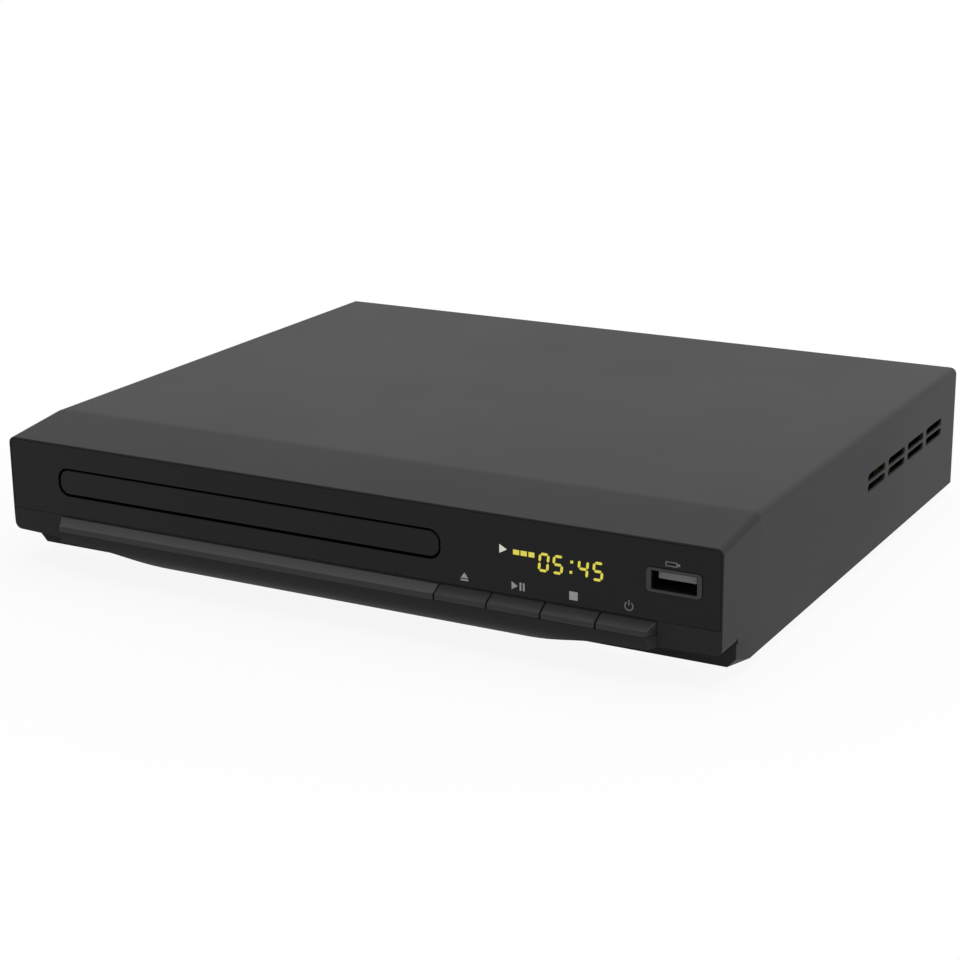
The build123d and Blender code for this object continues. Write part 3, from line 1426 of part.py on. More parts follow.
# ======== Traverse: it carries the spindle motor and the pickup, and tips about its back pins ========
with BuildPart() as traverse_frame:
    plate_span = (tray_x - traverse_half, tray_x + traverse_half)
    block(plate_span, (traverse_front, traverse_back), (traverse_height, traverse_top))
    window = (tray_x - window_half, tray_x + window_half)
    block(window, (window_front, window_rear), (traverse_height - 1, traverse_top + 1), Mode.SUBTRACT)
    boss_hole = (traverse_height - 1, traverse_top + 1)
    post(tray_x, disc_depth, boss_hole, spindle_boss_radius + run_gap, Mode.SUBTRACT)
    for rib in both_sides(traverse_half - traverse_rib, traverse_half):
        block(rib, (traverse_front, traverse_rib_rear), (traverse_rib_low, traverse_height))
    for ear in both_sides(traverse_half - ear_width, traverse_half):
        block(ear, (window_rear, pivot_depth + pivot_pin_radius), (pivot_height - pivot_pin_radius, traverse_top))
    for pin in both_sides(traverse_half - 1, traverse_half + ear_gap + bracket_width):
        rod_across(pin, pivot_depth, pivot_height, pivot_pin_radius)
    for n in (-1, 1):
        pin_x = tray_x + n * cam_pin_offset
        block(
            (pin_x - cam_tab_half, pin_x + cam_tab_half),
            (cam_tab_front, traverse_front + cam_tab_half),
            (cam_tab_low, traverse_top),
        )
        rod_back(pin_x, (cam_pin_tip, cam_tab_front), cam_pin_height, cam_pin_radius)
        # Holders of the two guide rods.
        rod_x = tray_x + n * rod_offset
        for depth in ((holder_front, window_front), (window_rear, traverse_back)):
            block((rod_x - holder_half, rod_x + holder_half), depth, (holder_low, traverse_height))
        rod_length = (holder_front, traverse_back - 1)
        rod_back(rod_x, rod_length, rod_height, rod_radius + rod_fit, Mode.SUBTRACT)
    # Pin of the sled gear, and a half cup round the side of the sled motor that faces away from it.
    post(sled_pinion_x, sled_pinion_depth, (sled_rack_low, traverse_height), sled_pin_radius)
    with BuildSketch(plan.offset(sled_motor_top - 4)):
        with Locations((sled_motor_x, sled_motor_depth)):
            Circle(sled_motor_radius + cup_wall)
            Circle(sled_motor_radius, mode=Mode.SUBTRACT)
            Rectangle(
                2 * sled_motor_radius,
                2 * (sled_motor_radius + cup_wall),
                rotation=degrees(sled_motor_angle),
                align=(Align.MAX, Align.CENTER),
                mode=Mode.SUBTRACT,
            )
    extrude(amount=traverse_height - sled_motor_top + 4)
traverse_frame.part.label = "traverse_frame"
export_step(traverse_frame.part, "parts/traverse_frame.step")

with BuildPart() as dampers:
    for damper in both_sides(bracket_in, bracket_in + damper_width):
        rod_across(damper, pivot_depth, pivot_height, damper_radius)
        rod_across(damper, pivot_depth, pivot_height, pivot_pin_radius + run_gap, Mode.SUBTRACT)
dampers.part.label = "dampers"
export_step(dampers.part, "parts/dampers.step")

with BuildPart() as guide_rods:
    for n in (-1, 1):
        rod_back(tray_x + n * rod_offset, rod_length, rod_height, rod_radius)
guide_rods.part.label = "guide_rods"
export_step(guide_rods.part, "parts/guide_rods.step")

with BuildPart() as spindle_motor:
    post(tray_x, disc_depth, (spindle_motor_low, traverse_height), spindle_motor_radius)
    post(tray_x, disc_depth, (traverse_height, spindle_boss_top), spindle_boss_radius)
    fillet(spindle_motor.edges().group_by(Axis.Z)[0], 0.8)
    bore = (spindle_motor_low + 2, spindle_boss_top + 1)
    post(tray_x, disc_depth, bore, spindle_shaft_radius + run_gap, Mode.SUBTRACT)
spindle_motor.part.label = "spindle_motor"
export_step(spindle_motor.part, "parts/spindle_motor.step")

with BuildPart() as turntable:
    post(tray_x, disc_depth, (spindle_motor_low + 2.4, turntable_hub_low), spindle_shaft_radius)
    post(tray_x, disc_depth, (turntable_hub_low, disc_seat), turntable_hub_radius)
    post(tray_x, disc_depth, (disc_seat - turntable_thickness, disc_seat), turntable_radius)
    with Locations(spot(tray_x, disc_depth, disc_seat)):
        Cone(cone_radius, cone_top_radius, cone_height, align=standing)
turntable.part.label = "turntable"
export_step(turntable.part, "parts/turntable.step")

with BuildPart() as pickup_body:
    pickup_span = (tray_x - pickup_left, tray_x + pickup_right)
    pickup_length = (pickup_front, pickup_back)
    block(pickup_span, pickup_length, (pickup_low, pickup_top))
    block(
        (tray_x - actuator_half, tray_x + actuator_half),
        (pickup_front + actuator_front, lens_depth + actuator_rear),
        (pickup_top, actuator_top),
    )
    post(tray_x, lens_depth, (pickup_top, actuator_top + 1), lens_collar, Mode.SUBTRACT)
    past = (pickup_front - 1, pickup_back + 1)
    rod_back(tray_x - rod_offset, past, rod_height, rod_radius + run_gap, Mode.SUBTRACT)
    # The right side runs on its rod with an open fork.
    fork = rod_radius + run_gap
    block(
        (tray_x + rod_offset - fork, tray_x + pickup_right + 1),
        past,
        (rod_height - fork, rod_height + fork),
        Mode.SUBTRACT,
    )
    # Rack arm on the right, below the sled gear's large wheel.
    with BuildSketch(plan.offset(sled_rack_low)):
        with Locations((tray_x + sled_rack_offset, sled_pinion_depth)):
            Polygon(
                *rack_outline(
                    sled_module,
                    int((sled_rack_front - sled_pinion_depth) / (pi * sled_module)),
                    1,
                    sled_rack_front - sled_pinion_depth,
                    sled_rack_rear - sled_pinion_depth,
                    sled_rack_offset - pickup_right + sled_arm_root,
                ),
                align=None,
            )
    extrude(amount=sled_rack_tall - axial_gap)
pickup_body.part.label = "pickup_body"
export_step(pickup_body.part, "parts/pickup_body.step")

with BuildPart() as pickup_lens:
    post(tray_x, lens_depth, (pickup_top, lens_top), lens_radius)
    fillet(pickup_lens.edges().group_by(Axis.Z)[-1], 0.6)
pickup_lens.part.label = "pickup_lens"
export_step(pickup_lens.part, "parts/pickup_lens.step")

with BuildPart() as sled_gear:
    with BuildSketch(plan.offset(sled_rack_low)):
        with Locations((sled_pinion_x, sled_pinion_depth)):
            Polygon(*gear_outline(sled_module, sled_pinion_teeth, pi), align=None)
    extrude(amount=sled_wheel_low - sled_rack_low)
    with BuildSketch(plan.offset(sled_wheel_low)):
        with Locations((sled_pinion_x, sled_pinion_depth)):
            Polygon(*gear_outline(sled_wheel_module, sled_wheel_teeth, 0, short_tip), align=None)
    extrude(amount=sled_wheel_tall)
    post(sled_pinion_x, sled_pinion_depth, (sled_wheel_low, traverse_height - axial_gap), sled_hub_radius)
    bore = (sled_rack_low - 1, traverse_height)
    post(sled_pinion_x, sled_pinion_depth, bore, sled_pin_radius + run_gap, Mode.SUBTRACT)
sled_gear.part.label = "sled_gear"
export_step(sled_gear.part, "parts/sled_gear.step")

with BuildPart() as sled_motor_gear:
    motor_turn = sled_motor_angle + pi + pi / sled_motor_teeth
    with BuildSketch(plan.offset(sled_wheel_low)):
        with Locations((sled_motor_x, sled_motor_depth)):
            Polygon(*gear_outline(sled_wheel_module, sled_motor_teeth, motor_turn), align=None)
    extrude(amount=sled_wheel_tall)
    sled_shaft_low = (sled_motor_low + sled_motor_top) / 2
    post(sled_motor_x, sled_motor_depth, (sled_shaft_low, sled_wheel_low), sled_pin_radius)
sled_motor_gear.part.label = "sled_motor_gear"
export_step(sled_motor_gear.part, "parts/sled_motor_gear.step")

with BuildPart() as sled_motor:
    post(sled_motor_x, sled_motor_depth, (sled_motor_low, sled_motor_top), sled_motor_radius)
    fillet(sled_motor.edges().group_by(Axis.Z)[0], 0.8)
    bore = (sled_shaft_low - axial_gap, sled_motor_top + 1)
    post(sled_motor_x, sled_motor_depth, bore, sled_pin_radius + run_gap, Mode.SUBTRACT)
sled_motor.part.label = "sled_motor"
export_step(sled_motor.part, "parts/sled_motor.step")

# ======== Clamp ========
with BuildPart() as clamper_bridge:
    bridge_span = (tray_x - frame_outer, tray_x + frame_outer)
    bridge_depth = (disc_depth - bridge_half_depth, disc_depth + bridge_half_depth)
    bridge_top = frame_top + bridge_thickness
    block(bridge_span, bridge_depth, (frame_top, bridge_top))
    post(tray_x, disc_depth, (frame_top, bridge_top), bridge_ring_radius)
    post(tray_x, disc_depth, (frame_top - 1, bridge_top + 1), bridge_hole, Mode.SUBTRACT)
clamper_bridge.part.label = "clamper_bridge"
export_step(clamper_bridge.part, "parts/clamper_bridge.step")

with BuildPart() as clamper_puck:
    puck_flange_low = bridge_top + puck_seat_gap
    post(tray_x, disc_depth, (puck_low, puck_low + puck_thickness), puck_radius)
    post(tray_x, disc_depth, (puck_low, puck_flange_low), puck_neck)
    post(tray_x, disc_depth, (puck_flange_low, puck_flange_low + puck_flange_thickness), puck_flange)
    post(tray_x, disc_depth, (puck_low - 1, puck_low + puck_recess), puck_recess_radius, Mode.SUBTRACT)
clamper_puck.part.label = "clamper_puck"
export_step(clamper_puck.part, "parts/clamper_puck.step")

# ======== Screws inside the case ========
with BuildPart() as chassis_screws:
    for x, depth in board_screws:
        screw_down(x, depth, board_top)
    for x, depth in frame_screws:
        screw_down(x, depth, frame_low + lug_thickness)
    for x, height in front_posts:
        back = front_board_depth + board_thickness
        rod_back(x, (back - screw_length, back), height, screw_radius)
        rod_back(x, (back, back + screw_head_height), height, screw_head_radius)
chassis_screws.part.label = "chassis_screws"
export_step(chassis_screws.part, "parts/chassis_screws.step")

print("origin to front face", round(front_y, 3), "cam drop", round(cam_drop, 3))
print("drive ratio per m", 1000 / drive_radius, "cam per radian", cam_travel / radians(lift_angle))
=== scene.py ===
import bmesh
import bpy
import json
import math
from mathutils import Matrix, Vector

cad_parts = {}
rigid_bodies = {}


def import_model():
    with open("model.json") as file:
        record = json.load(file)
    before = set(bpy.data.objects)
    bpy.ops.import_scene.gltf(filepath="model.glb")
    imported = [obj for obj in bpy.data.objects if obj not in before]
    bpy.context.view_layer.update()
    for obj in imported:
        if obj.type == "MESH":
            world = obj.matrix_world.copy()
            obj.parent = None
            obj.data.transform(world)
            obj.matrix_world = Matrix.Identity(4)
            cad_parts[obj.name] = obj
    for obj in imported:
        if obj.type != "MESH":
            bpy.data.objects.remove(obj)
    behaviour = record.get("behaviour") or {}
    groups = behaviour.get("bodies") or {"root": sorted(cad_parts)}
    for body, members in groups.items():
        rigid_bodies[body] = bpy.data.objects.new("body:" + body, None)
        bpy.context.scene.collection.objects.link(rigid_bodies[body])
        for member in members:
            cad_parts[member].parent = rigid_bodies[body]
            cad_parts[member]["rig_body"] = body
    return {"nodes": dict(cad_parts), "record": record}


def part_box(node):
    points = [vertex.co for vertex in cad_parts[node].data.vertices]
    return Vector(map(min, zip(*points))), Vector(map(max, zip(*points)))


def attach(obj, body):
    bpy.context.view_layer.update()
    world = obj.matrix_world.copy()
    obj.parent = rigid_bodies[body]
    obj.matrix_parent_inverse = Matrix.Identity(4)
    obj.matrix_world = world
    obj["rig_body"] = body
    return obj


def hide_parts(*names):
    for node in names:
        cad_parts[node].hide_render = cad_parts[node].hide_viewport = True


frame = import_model()
nodes = frame["nodes"]
scene = bpy.context.scene
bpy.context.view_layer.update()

# Places are in mm: x across, depth behind the front face, height above the underside of the case.
mm = 0.001
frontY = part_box("front_panel")[0].y
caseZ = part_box("bottom_pan")[0].z
print("frame loaded:", len(nodes), "parts")


def at(x, depth, height):
    return Vector((x * mm, frontY + depth * mm, caseZ + height * mm))


def middleOf(name):
    low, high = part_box(name)
    return (low + high) / 2


# shader groups
def shaderGroup(name, inputs, outputs):
    tree = bpy.data.node_groups.new(name, "ShaderNodeTree")
    for label, kind, value in inputs:
        socket = tree.interface.new_socket(name=label, in_out="INPUT", socket_type=kind)
        if value is not None:
            socket.default_value = value
    for label, kind in outputs:
        tree.interface.new_socket(name=label, in_out="OUTPUT", socket_type=kind)
    return tree, tree.nodes.new("NodeGroupInput"), tree.nodes.new("NodeGroupOutput")


def buildGrainGroup():
    tree, start, end = shaderGroup(
        "moulded grain",
        [
            ("Vector", "NodeSocketVector", None),
            ("Grain", "NodeSocketFloat", 4000.0),
            ("Low", "NodeSocketFloat", 0.4),
            ("High", "NodeSocketFloat", 0.5),
        ],
        [("Roughness", "NodeSocketFloat"), ("Height", "NodeSocketFloat")],
    )
    link = tree.links.new
    fine = tree.nodes.new("ShaderNodeTexNoise")
    fine.inputs["Detail"].default_value = 2.0
    link(start.outputs["Vector"], fine.inputs["Vector"])
    link(start.outputs["Grain"], fine.inputs["Scale"])
    slow = tree.nodes.new("ShaderNodeTexNoise")
    slow.inputs["Scale"].default_value = 14.0
    slow.inputs["Detail"].default_value = 4.0
    link(start.outputs["Vector"], slow.inputs["Vector"])
    spread = tree.nodes.new("ShaderNodeMapRange")
    spread.inputs["From Min"].default_value = 0.3
    spread.inputs["From Max"].default_value = 0.7
    link(slow.outputs["Fac"], spread.inputs["Value"])
    link(start.outputs["Low"], spread.inputs["To Min"])
    link(start.outputs["High"], spread.inputs["To Max"])
    link(spread.outputs["Result"], end.inputs["Roughness"])
    link(fine.outputs["Fac"], end.inputs["Height"])
    return tree


def buildDriftGroup():
    # slow change between two close colours
    tree, start, end = shaderGroup(
        "colour drift",
        [
            ("Vector", "NodeSocketVector", None),
            ("Scale", "NodeSocketFloat", 9.0),
            ("First", "NodeSocketColor", (0.1, 0.1, 0.1, 1)),
            ("Second", "NodeSocketColor", (0.12, 0.12, 0.12, 1)),
        ],
        [("Color", "NodeSocketColor")],
    )
    link = tree.links.new
    cloud = tree.nodes.new("ShaderNodeTexNoise")
    cloud.inputs["Detail"].default_value = 5.0
    link(start.outputs["Vector"], cloud.inputs["Vector"])
    link(start.outputs["Scale"], cloud.inputs["Scale"])
    mix = tree.nodes.new("ShaderNodeMix")
    mix.data_type = "RGBA"
    link(cloud.outputs["Fac"], mix.inputs["Factor"])
    link(start.outputs["First"], mix.inputs["A"])
    link(start.outputs["Second"], mix.inputs["B"])
    link(mix.outputs["Result"], end.inputs["Color"])
    return tree


def buildBrushGroup():
    tree, start, end = shaderGroup(
        "rolled lines",
        [
            ("Vector", "NodeSocketVector", None),
            ("Stretch", "NodeSocketVector", (20.0, 900.0, 900.0)),
            ("Low", "NodeSocketFloat", 0.3),
            ("High", "NodeSocketFloat", 0.45),
        ],
        [("Roughness", "NodeSocketFloat"), ("Height", "NodeSocketFloat")],
    )
    link = tree.links.new
    mapping = tree.nodes.new("ShaderNodeMapping")
    link(start.outputs["Vector"], mapping.inputs["Vector"])
    link(start.outputs["Stretch"], mapping.inputs["Scale"])
    lines = tree.nodes.new("ShaderNodeTexNoise")
    lines.inputs["Scale"].default_value = 1.0
    lines.inputs["Detail"].default_value = 3.0
    link(mapping.outputs["Vector"], lines.inputs["Vector"])
    spread = tree.nodes.new("ShaderNodeMapRange")
    spread.inputs["From Min"].default_value = 0.35
    spread.inputs["From Max"].default_value = 0.65
    link(lines.outputs["Fac"], spread.inputs["Value"])
    link(start.outputs["Low"], spread.inputs["To Min"])
    link(start.outputs["High"], spread.inputs["To Max"])
    link(spread.outputs["Result"], end.inputs["Roughness"])
    link(lines.outputs["Fac"], end.inputs["Height"])
    return tree


def buildStepGroup():
    # 0 below the given height and 1 above it, with a soft change between; it masks the painted highlight in
    # makeFinish
    tree, start, end = shaderGroup(
        "height step",
        [
            ("Vector", "NodeSocketVector", None),
            ("Height", "NodeSocketFloat", 0.0),
            ("Softness", "NodeSocketFloat", 0.0002),
        ],
        [("Fac", "NodeSocketFloat")],
    )
    link = tree.links.new
    parts = tree.nodes.new("ShaderNodeSeparateXYZ")
    link(start.outputs["Vector"], parts.inputs["Vector"])
    above = tree.nodes.new("ShaderNodeMath")
    above.operation = "ADD"
    link(start.outputs["Height"], above.inputs[0])
    link(start.outputs["Softness"], above.inputs[1])
    ramp = tree.nodes.new("ShaderNodeMapRange")
    ramp.interpolation_type = "SMOOTHSTEP"
    link(parts.outputs["Z"], ramp.inputs["Value"])
    link(start.outputs["Height"], ramp.inputs["From Min"])
    link(above.outputs["Value"], ramp.inputs["From Max"])
    link(ramp.outputs["Result"], end.inputs["Fac"])
    return tree


stepGroup = buildStepGroup()
grainGroup = buildGrainGroup()
driftGroup = buildDriftGroup()
brushGroup = buildBrushGroup()


# what a finish has unless its own entry says otherwise
plainLook = {"driftScale": 9.0, "drift": 1.12, "grain": 3500.0, "bump": 0.0, "bumpDepth": 0.00002}


def makeFinish(name, ownLook):
    look = {**plainLook, **ownLook}
    material = bpy.data.materials.new(name)
    material.use_nodes = True
    tree = material.node_tree
    link = tree.links.new
    shader = tree.nodes["Principled BSDF"]
    for socket, key in (
        ("Metallic", "metallic"),
        ("Specular IOR Level", "specular"),
        ("Coat Weight", "coat"),
        ("Coat Roughness", "coatRoughness"),
        ("Transmission Weight", "transmission"),
        ("IOR", "ior"),
    ):
        if key in look:
            shader.inputs[socket].default_value = look[key]
    coords = tree.nodes.new("ShaderNodeTexCoord")
    drift = tree.nodes.new("ShaderNodeGroup")
    drift.node_tree = driftGroup
    drift.inputs["Scale"].default_value = look["driftScale"]
    color = look["color"]
    drift.inputs["First"].default_value = (*color, 1)
    drift.inputs["Second"].default_value = (*[min(1, c * look["drift"]) for c in color], 1)
    link(coords.outputs["Object"], drift.inputs["Vector"])
    paint = drift.outputs["Color"]
    # painted highlight: above the given height the base colour turns lighter, standing in for the light that
    # falls on the slanted top facet of the strip and the buttons
    if "paintedHighlight" in look:
        step = tree.nodes.new("ShaderNodeGroup")
        step.node_tree = stepGroup
        step.inputs["Height"].default_value = caseZ + look["paintedHighlightFrom"] * mm
        link(coords.outputs["Object"], step.inputs["Vector"])
        paintedHighlightMix = tree.nodes.new("ShaderNodeMix")
        paintedHighlightMix.data_type = "RGBA"
        paintedHighlightMix.inputs["B"].default_value = (*look["paintedHighlight"], 1)
        link(step.outputs["Fac"], paintedHighlightMix.inputs["Factor"])
        link(paint, paintedHighlightMix.inputs["A"])
        paint = paintedHighlightMix.outputs["Result"]
    link(paint, shader.inputs["Base Color"])
    surface = tree.nodes.new("ShaderNodeGroup")
    if "stretch" in look:
        surface.node_tree = brushGroup
        surface.inputs["Stretch"].default_value = look["stretch"]
    else:
        surface.node_tree = grainGroup
        surface.inputs["Grain"].default_value = look["grain"]
    low, high = look["roughness"]
    surface.inputs["Low"].default_value = low
    surface.inputs["High"].default_value = high
    link(coords.outputs["Object"], surface.inputs["Vector"])
    link(surface.outputs["Roughness"], shader.inputs["Roughness"])
    if look["bump"] > 0:
        bump = tree.nodes.new("ShaderNodeBump")
        bump.inputs["Strength"].default_value = look["bump"]
        bump.inputs["Distance"].default_value = look["bumpDepth"]
        link(surface.outputs["Height"], bump.inputs["Height"])
        link(bump.outputs["Normal"], shader.inputs["Normal"])
    return material


# One entry for each material slot of the record.
finishes = {
    "cover_paint": {
        "color": (0.056, 0.056, 0.056), "roughness": (0.5, 0.56), "specular": 0.06, "grain": 5200.0,
        "bump": 0.3, "drift": 1.04,
    },
    "front_plastic": {
        "color": (0.038, 0.038, 0.0385), "roughness": (0.46, 0.52), "specular": 0.08, "grain": 4200.0,
        "bump": 0.2, "drift": 1.04,
    },
    "panel_gloss": {
        "color": (0.0095, 0.0095, 0.0098), "roughness": (0.1, 0.14), "specular": 0.16, "drift": 1.05,
    },
    # the lighter tone above 11.2 mm is painted highlight for the light on the strip's slanted top facet
    "trim_plastic": {
        "color": (0.038, 0.038, 0.0385), "paintedHighlight": (0.098, 0.098, 0.099), "paintedHighlightFrom": 11.2,
        "roughness": (0.4, 0.46), "specular": 0.25, "grain": 4200.0, "bump": 0.2, "drift": 1.04,
    },
    # the lighter tone above 11.2 mm is a weaker painted highlight on the buttons' slanted top facets
    "button_plastic": {
        "color": (0.038, 0.038, 0.0385), "paintedHighlight": (0.056, 0.056, 0.057), "paintedHighlightFrom": 11.2,
        "roughness": (0.4, 0.46), "specular": 0.25, "grain": 4200.0, "bump": 0.2, "drift": 1.04,
    },
    "bezel_plastic": {
        "color": (0.03, 0.03, 0.031), "roughness": (0.22, 0.3), "specular": 0.4, "drift": 1.05,
    },
    # painted shade: the USB shell is near-black to stand in for the shade inside the port, where bright plated
    # metal would be
    "dark_nickel": {
        "color": (0.05, 0.05, 0.051), "metallic": 1.0, "roughness": (0.34, 0.44), "grain": 900.0,
        "drift": 1.05,
    },
    "grey_plastic": {
        "color": (0.34, 0.34, 0.34), "roughness": (0.42, 0.5), "specular": 0.3, "grain": 2200.0,
        "bump": 0.1, "drift": 1.05,
    },
    "plated_steel": {
        "color": (0.66, 0.66, 0.67), "metallic": 1.0, "roughness": (0.16, 0.26), "grain": 800.0,
        "drift": 1.04,
    },
    "black_plastic": {
        "color": (0.022, 0.022, 0.023), "roughness": (0.42, 0.55), "grain": 2600.0, "bump": 0.3,
    },
    "light_plastic": {
        "color": (0.68, 0.67, 0.62), "roughness": (0.38, 0.48), "grain": 2200.0, "bump": 0.1,
        "drift": 1.05,
    },
    "dark_gloss": {
        "color": (0.012, 0.012, 0.014), "roughness": (0.08, 0.12), "coat": 0.4, "coatRoughness": 0.05,
    },
    "green_board": {
        "color": (0.012, 0.11, 0.04), "roughness": (0.25, 0.35), "grain": 900.0, "bump": 0.15,
        "drift": 1.4, "driftScale": 120.0,
    },
    "tan_board": {
        "color": (0.36, 0.22, 0.1), "roughness": (0.5, 0.62), "grain": 1800.0, "bump": 0.3,
        "drift": 1.2, "driftScale": 160.0,
    },
    "can_sleeve": {
        "color": (0.018, 0.018, 0.05), "roughness": (0.2, 0.32), "grain": 500.0, "drift": 1.2,
    },
    "yellow_tape": {
        "color": (0.7, 0.52, 0.08), "roughness": (0.3, 0.42), "grain": 900.0, "bump": 0.3,
        "bumpDepth": 0.0001,
    },
    "plain_aluminium": {
        "color": (0.72, 0.73, 0.74), "metallic": 1.0, "roughness": (0.32, 0.45),
        "stretch": (900.0, 900.0, 18.0), "bump": 0.2,
    },
    "clear_glass": {
        "color": (0.9, 0.95, 0.95), "roughness": (0.03, 0.06), "transmission": 0.9, "ior": 1.45,
    },
    "zinc_steel": {
        "color": (0.5, 0.5, 0.51), "metallic": 1.0, "roughness": (0.34, 0.48), "grain": 260.0,
        "bump": 0.1, "drift": 1.15, "driftScale": 70.0,
    },
    "black_paint": {
        "color": (0.028, 0.028, 0.029), "roughness": (0.42, 0.52), "specular": 0.4, "grain": 4200.0,
        "bump": 0.3,
    },
    "bright_steel": {
        "color": (0.58, 0.58, 0.59), "metallic": 1.0, "roughness": (0.24, 0.36),
        "stretch": (120.0, 120.0, 1400.0), "bump": 0.1,
    },
    "brass_pin": {
        "color": (0.72, 0.52, 0.22), "metallic": 1.0, "roughness": (0.22, 0.32), "grain": 900.0,
    },
    "black_rubber": {
        "color": (0.018, 0.018, 0.018), "roughness": (0.6, 0.75), "grain": 1800.0, "bump": 0.4,
        "bumpDepth": 0.00005,
    },
    "yellow_plastic": {
        "color": (0.8, 0.52, 0.015), "roughness": (0.35, 0.45), "grain": 1500.0, "bump": 0.1,
    },
    "white_plastic": {
        "color": (0.8, 0.8, 0.78), "roughness": (0.35, 0.45), "grain": 1500.0, "bump": 0.1,
        "drift": 1.04,
    },
    "red_plastic": {
        "color": (0.55, 0.012, 0.012), "roughness": (0.35, 0.45), "grain": 1500.0, "bump": 0.1,
    },
    "orange_plastic": {
        "color": (0.75, 0.2, 0.012), "roughness": (0.35, 0.45), "grain": 1500.0, "bump": 0.1,
    },
    "cast_alloy": {
        "color": (0.42, 0.43, 0.44), "metallic": 1.0, "roughness": (0.42, 0.56), "grain": 1100.0,
        "bump": 0.4, "bumpDepth": 0.00006,
    },
    "lens_glass": {
        "color": (0.45, 0.55, 0.8), "roughness": (0.02, 0.05), "transmission": 0.6, "ior": 1.5,
        "coat": 0.5,
    },
}
materials = {slotName: makeFinish(slotName, look) for slotName, look in finishes.items()}
slotOfNode = {part["node"]: part["material_slot"] for part in frame["record"]["subparts"]}
for nodeName, node in nodes.items():
    for slot in node.material_slots:
        slot.material = materials[slotOfNode[nodeName]]
print("finishes made:", len(materials))


# pieces with softened edges, in place of the sharp CAD ones
# depth of the joint between the front moulding and the cover, and how much of the edge radius it gets
seam = {"depth": 24.4, "share": 0.25, "slack": 0.01}
# in degrees: faces this flat are joined, edges bent more are rounded, shading breaks at edges bent more still
angles = {"flat": 0.4, "rounded": 32.0, "sharp": 38.0}
mergeDistance = 0.002 * mm


def evaluatedMesh(piece):
    bpy.context.view_layer.update()
    graph = bpy.context.evaluated_depsgraph_get()
    return bpy.data.meshes.new_from_object(piece.evaluated_get(graph))


def dressNode(nodeName, edgeRadius, segments=2):
    copied = nodes[nodeName].data.copy()
    shape = bmesh.new()
    shape.from_mesh(copied)
    bmesh.ops.remove_doubles(shape, verts=shape.verts, dist=mergeDistance)
    bmesh.ops.dissolve_limit(
        shape, angle_limit=math.radians(angles["flat"]), use_dissolve_boundaries=False,
        verts=shape.verts, edges=shape.edges,
    )
    weight = shape.edges.layers.float.new("bevel_weight_edge")
    seamY = at(0, seam["depth"], 0).y
    for edge in shape.edges:
        if len(edge.link_faces) == 2 and edge.calc_face_angle(0) > math.radians(angles["rounded"]):
            onSeam = all(abs(vert.co.y - seamY) < seam["slack"] * mm for vert in edge.verts)
            edge[weight] = seam["share"] if onSeam else 1.0
    shape.to_mesh(copied)
    shape.free()
    piece = bpy.data.objects.new(nodeName + "_shell", copied)
    scene.collection.objects.link(piece)
    if edgeRadius > 0:
        bevel = piece.modifiers.new("soft edges", "BEVEL")
        bevel.width = edgeRadius * mm
        bevel.segments = segments
        bevel.limit_method = "WEIGHT"
        bevel.use_clamp_overlap = True
        bevel.miter_outer = "MITER_ARC"
        finished = evaluatedMesh(piece)
        piece.modifiers.clear()
        piece.data = finished
    for face in piece.data.polygons:
        face.use_smooth = True
    piece.data.set_sharp_from_angle(angle=math.radians(angles["sharp"]))
    even = piece.modifiers.new("even shading", "WEIGHTED_NORMAL")
    even.keep_sharp = True
    finished = evaluatedMesh(piece)
    piece.modifiers.clear()
    piece.data = finished
    piece.data.name = nodeName + "Mesh"
    piece.data.materials.clear()
    piece.data.materials.append(materials[slotOfNode[nodeName]])
    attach(piece, nodes[nodeName]["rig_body"])
    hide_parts(nodeName)
    return piece


# edge radius in mm and segments for each visible part
softEdges = {
    "top_cover": (0.3, 2),
    "front_fascia": (0.35, 3),
    "front_panel": (0.2, 2),
    "trim_strip": (0.25, 2),
    "eject_button": (0.3, 2),
    "play_button": (0.3, 2),
    "stop_button": (0.3, 2),
    "power_button": (0.3, 2),
    "tray_door": (0.15, 2),
    "usb_bezel": (0.22, 2),
    "usb_shell": (0.08, 1),
    "usb_tongue": (0.15, 2),
    "rear_panel": (0.12, 1),
    "bottom_pan": (0.15, 1),
    "feet": (0.3, 2),
    "disc_tray": (0.25, 2),
    "mains_inlet": (0.3, 2),
    "jack_shells": (0.15, 2),
    "video_insert": (0.2, 2),
    "coax_insert": (0.2, 2),
    "audio_left_insert": (0.2, 2),
    "audio_right_insert": (0.2, 2),
    "hdmi_socket": (0.06, 1),
    "inlet_pins": (0.0, 1),
    "cover_screws": (0.15, 2),
    "turntable": (0.2, 2),
    "clamper_puck": (0.2, 2),
    "pickup_body": (0.2, 1),
    "loader_frame": (0.2, 1),
    "traverse_frame": (0.2, 1),
}
for nodeName, (edgeRadius, segments) in softEdges.items():
    dressNode(nodeName, edgeRadius, segments)
print("softened pieces:", len(softEdges))


# flat shapes that lie on the front panel
def addPiece(name, mesh, material, body):
    piece = bpy.data.objects.new(name, mesh)
    scene.collection.objects.link(piece)
    piece.data.materials.clear()
    piece.data.materials.append(material)
    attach(piece, body)
    return piece


def printedMesh(name, outlines, depthBack, depthFront):
    # each outline is a list of (x, height) corners, anticlockwise as seen from the front
    shape = bmesh.new()
    for outline in outlines:
        frontRing = [shape.verts.new(at(x, depthFront, height)) for x, height in outline]
        backRing = [shape.verts.new(at(x, depthBack, height)) for x, height in outline]
        shape.faces.new(frontRing)
        shape.faces.new(backRing[::-1])
        count = len(outline)
        for n in range(count):
            after = (n + 1) % count
            shape.faces.new((frontRing[after], frontRing[n], backRing[n], backRing[after]))
    mesh = bpy.data.meshes.new(name)
    shape.to_mesh(mesh)
    shape.free()
    return mesh


def barOutline(left, low, right, high):
    return [(left, low), (right, low), (right, high), (left, high)]


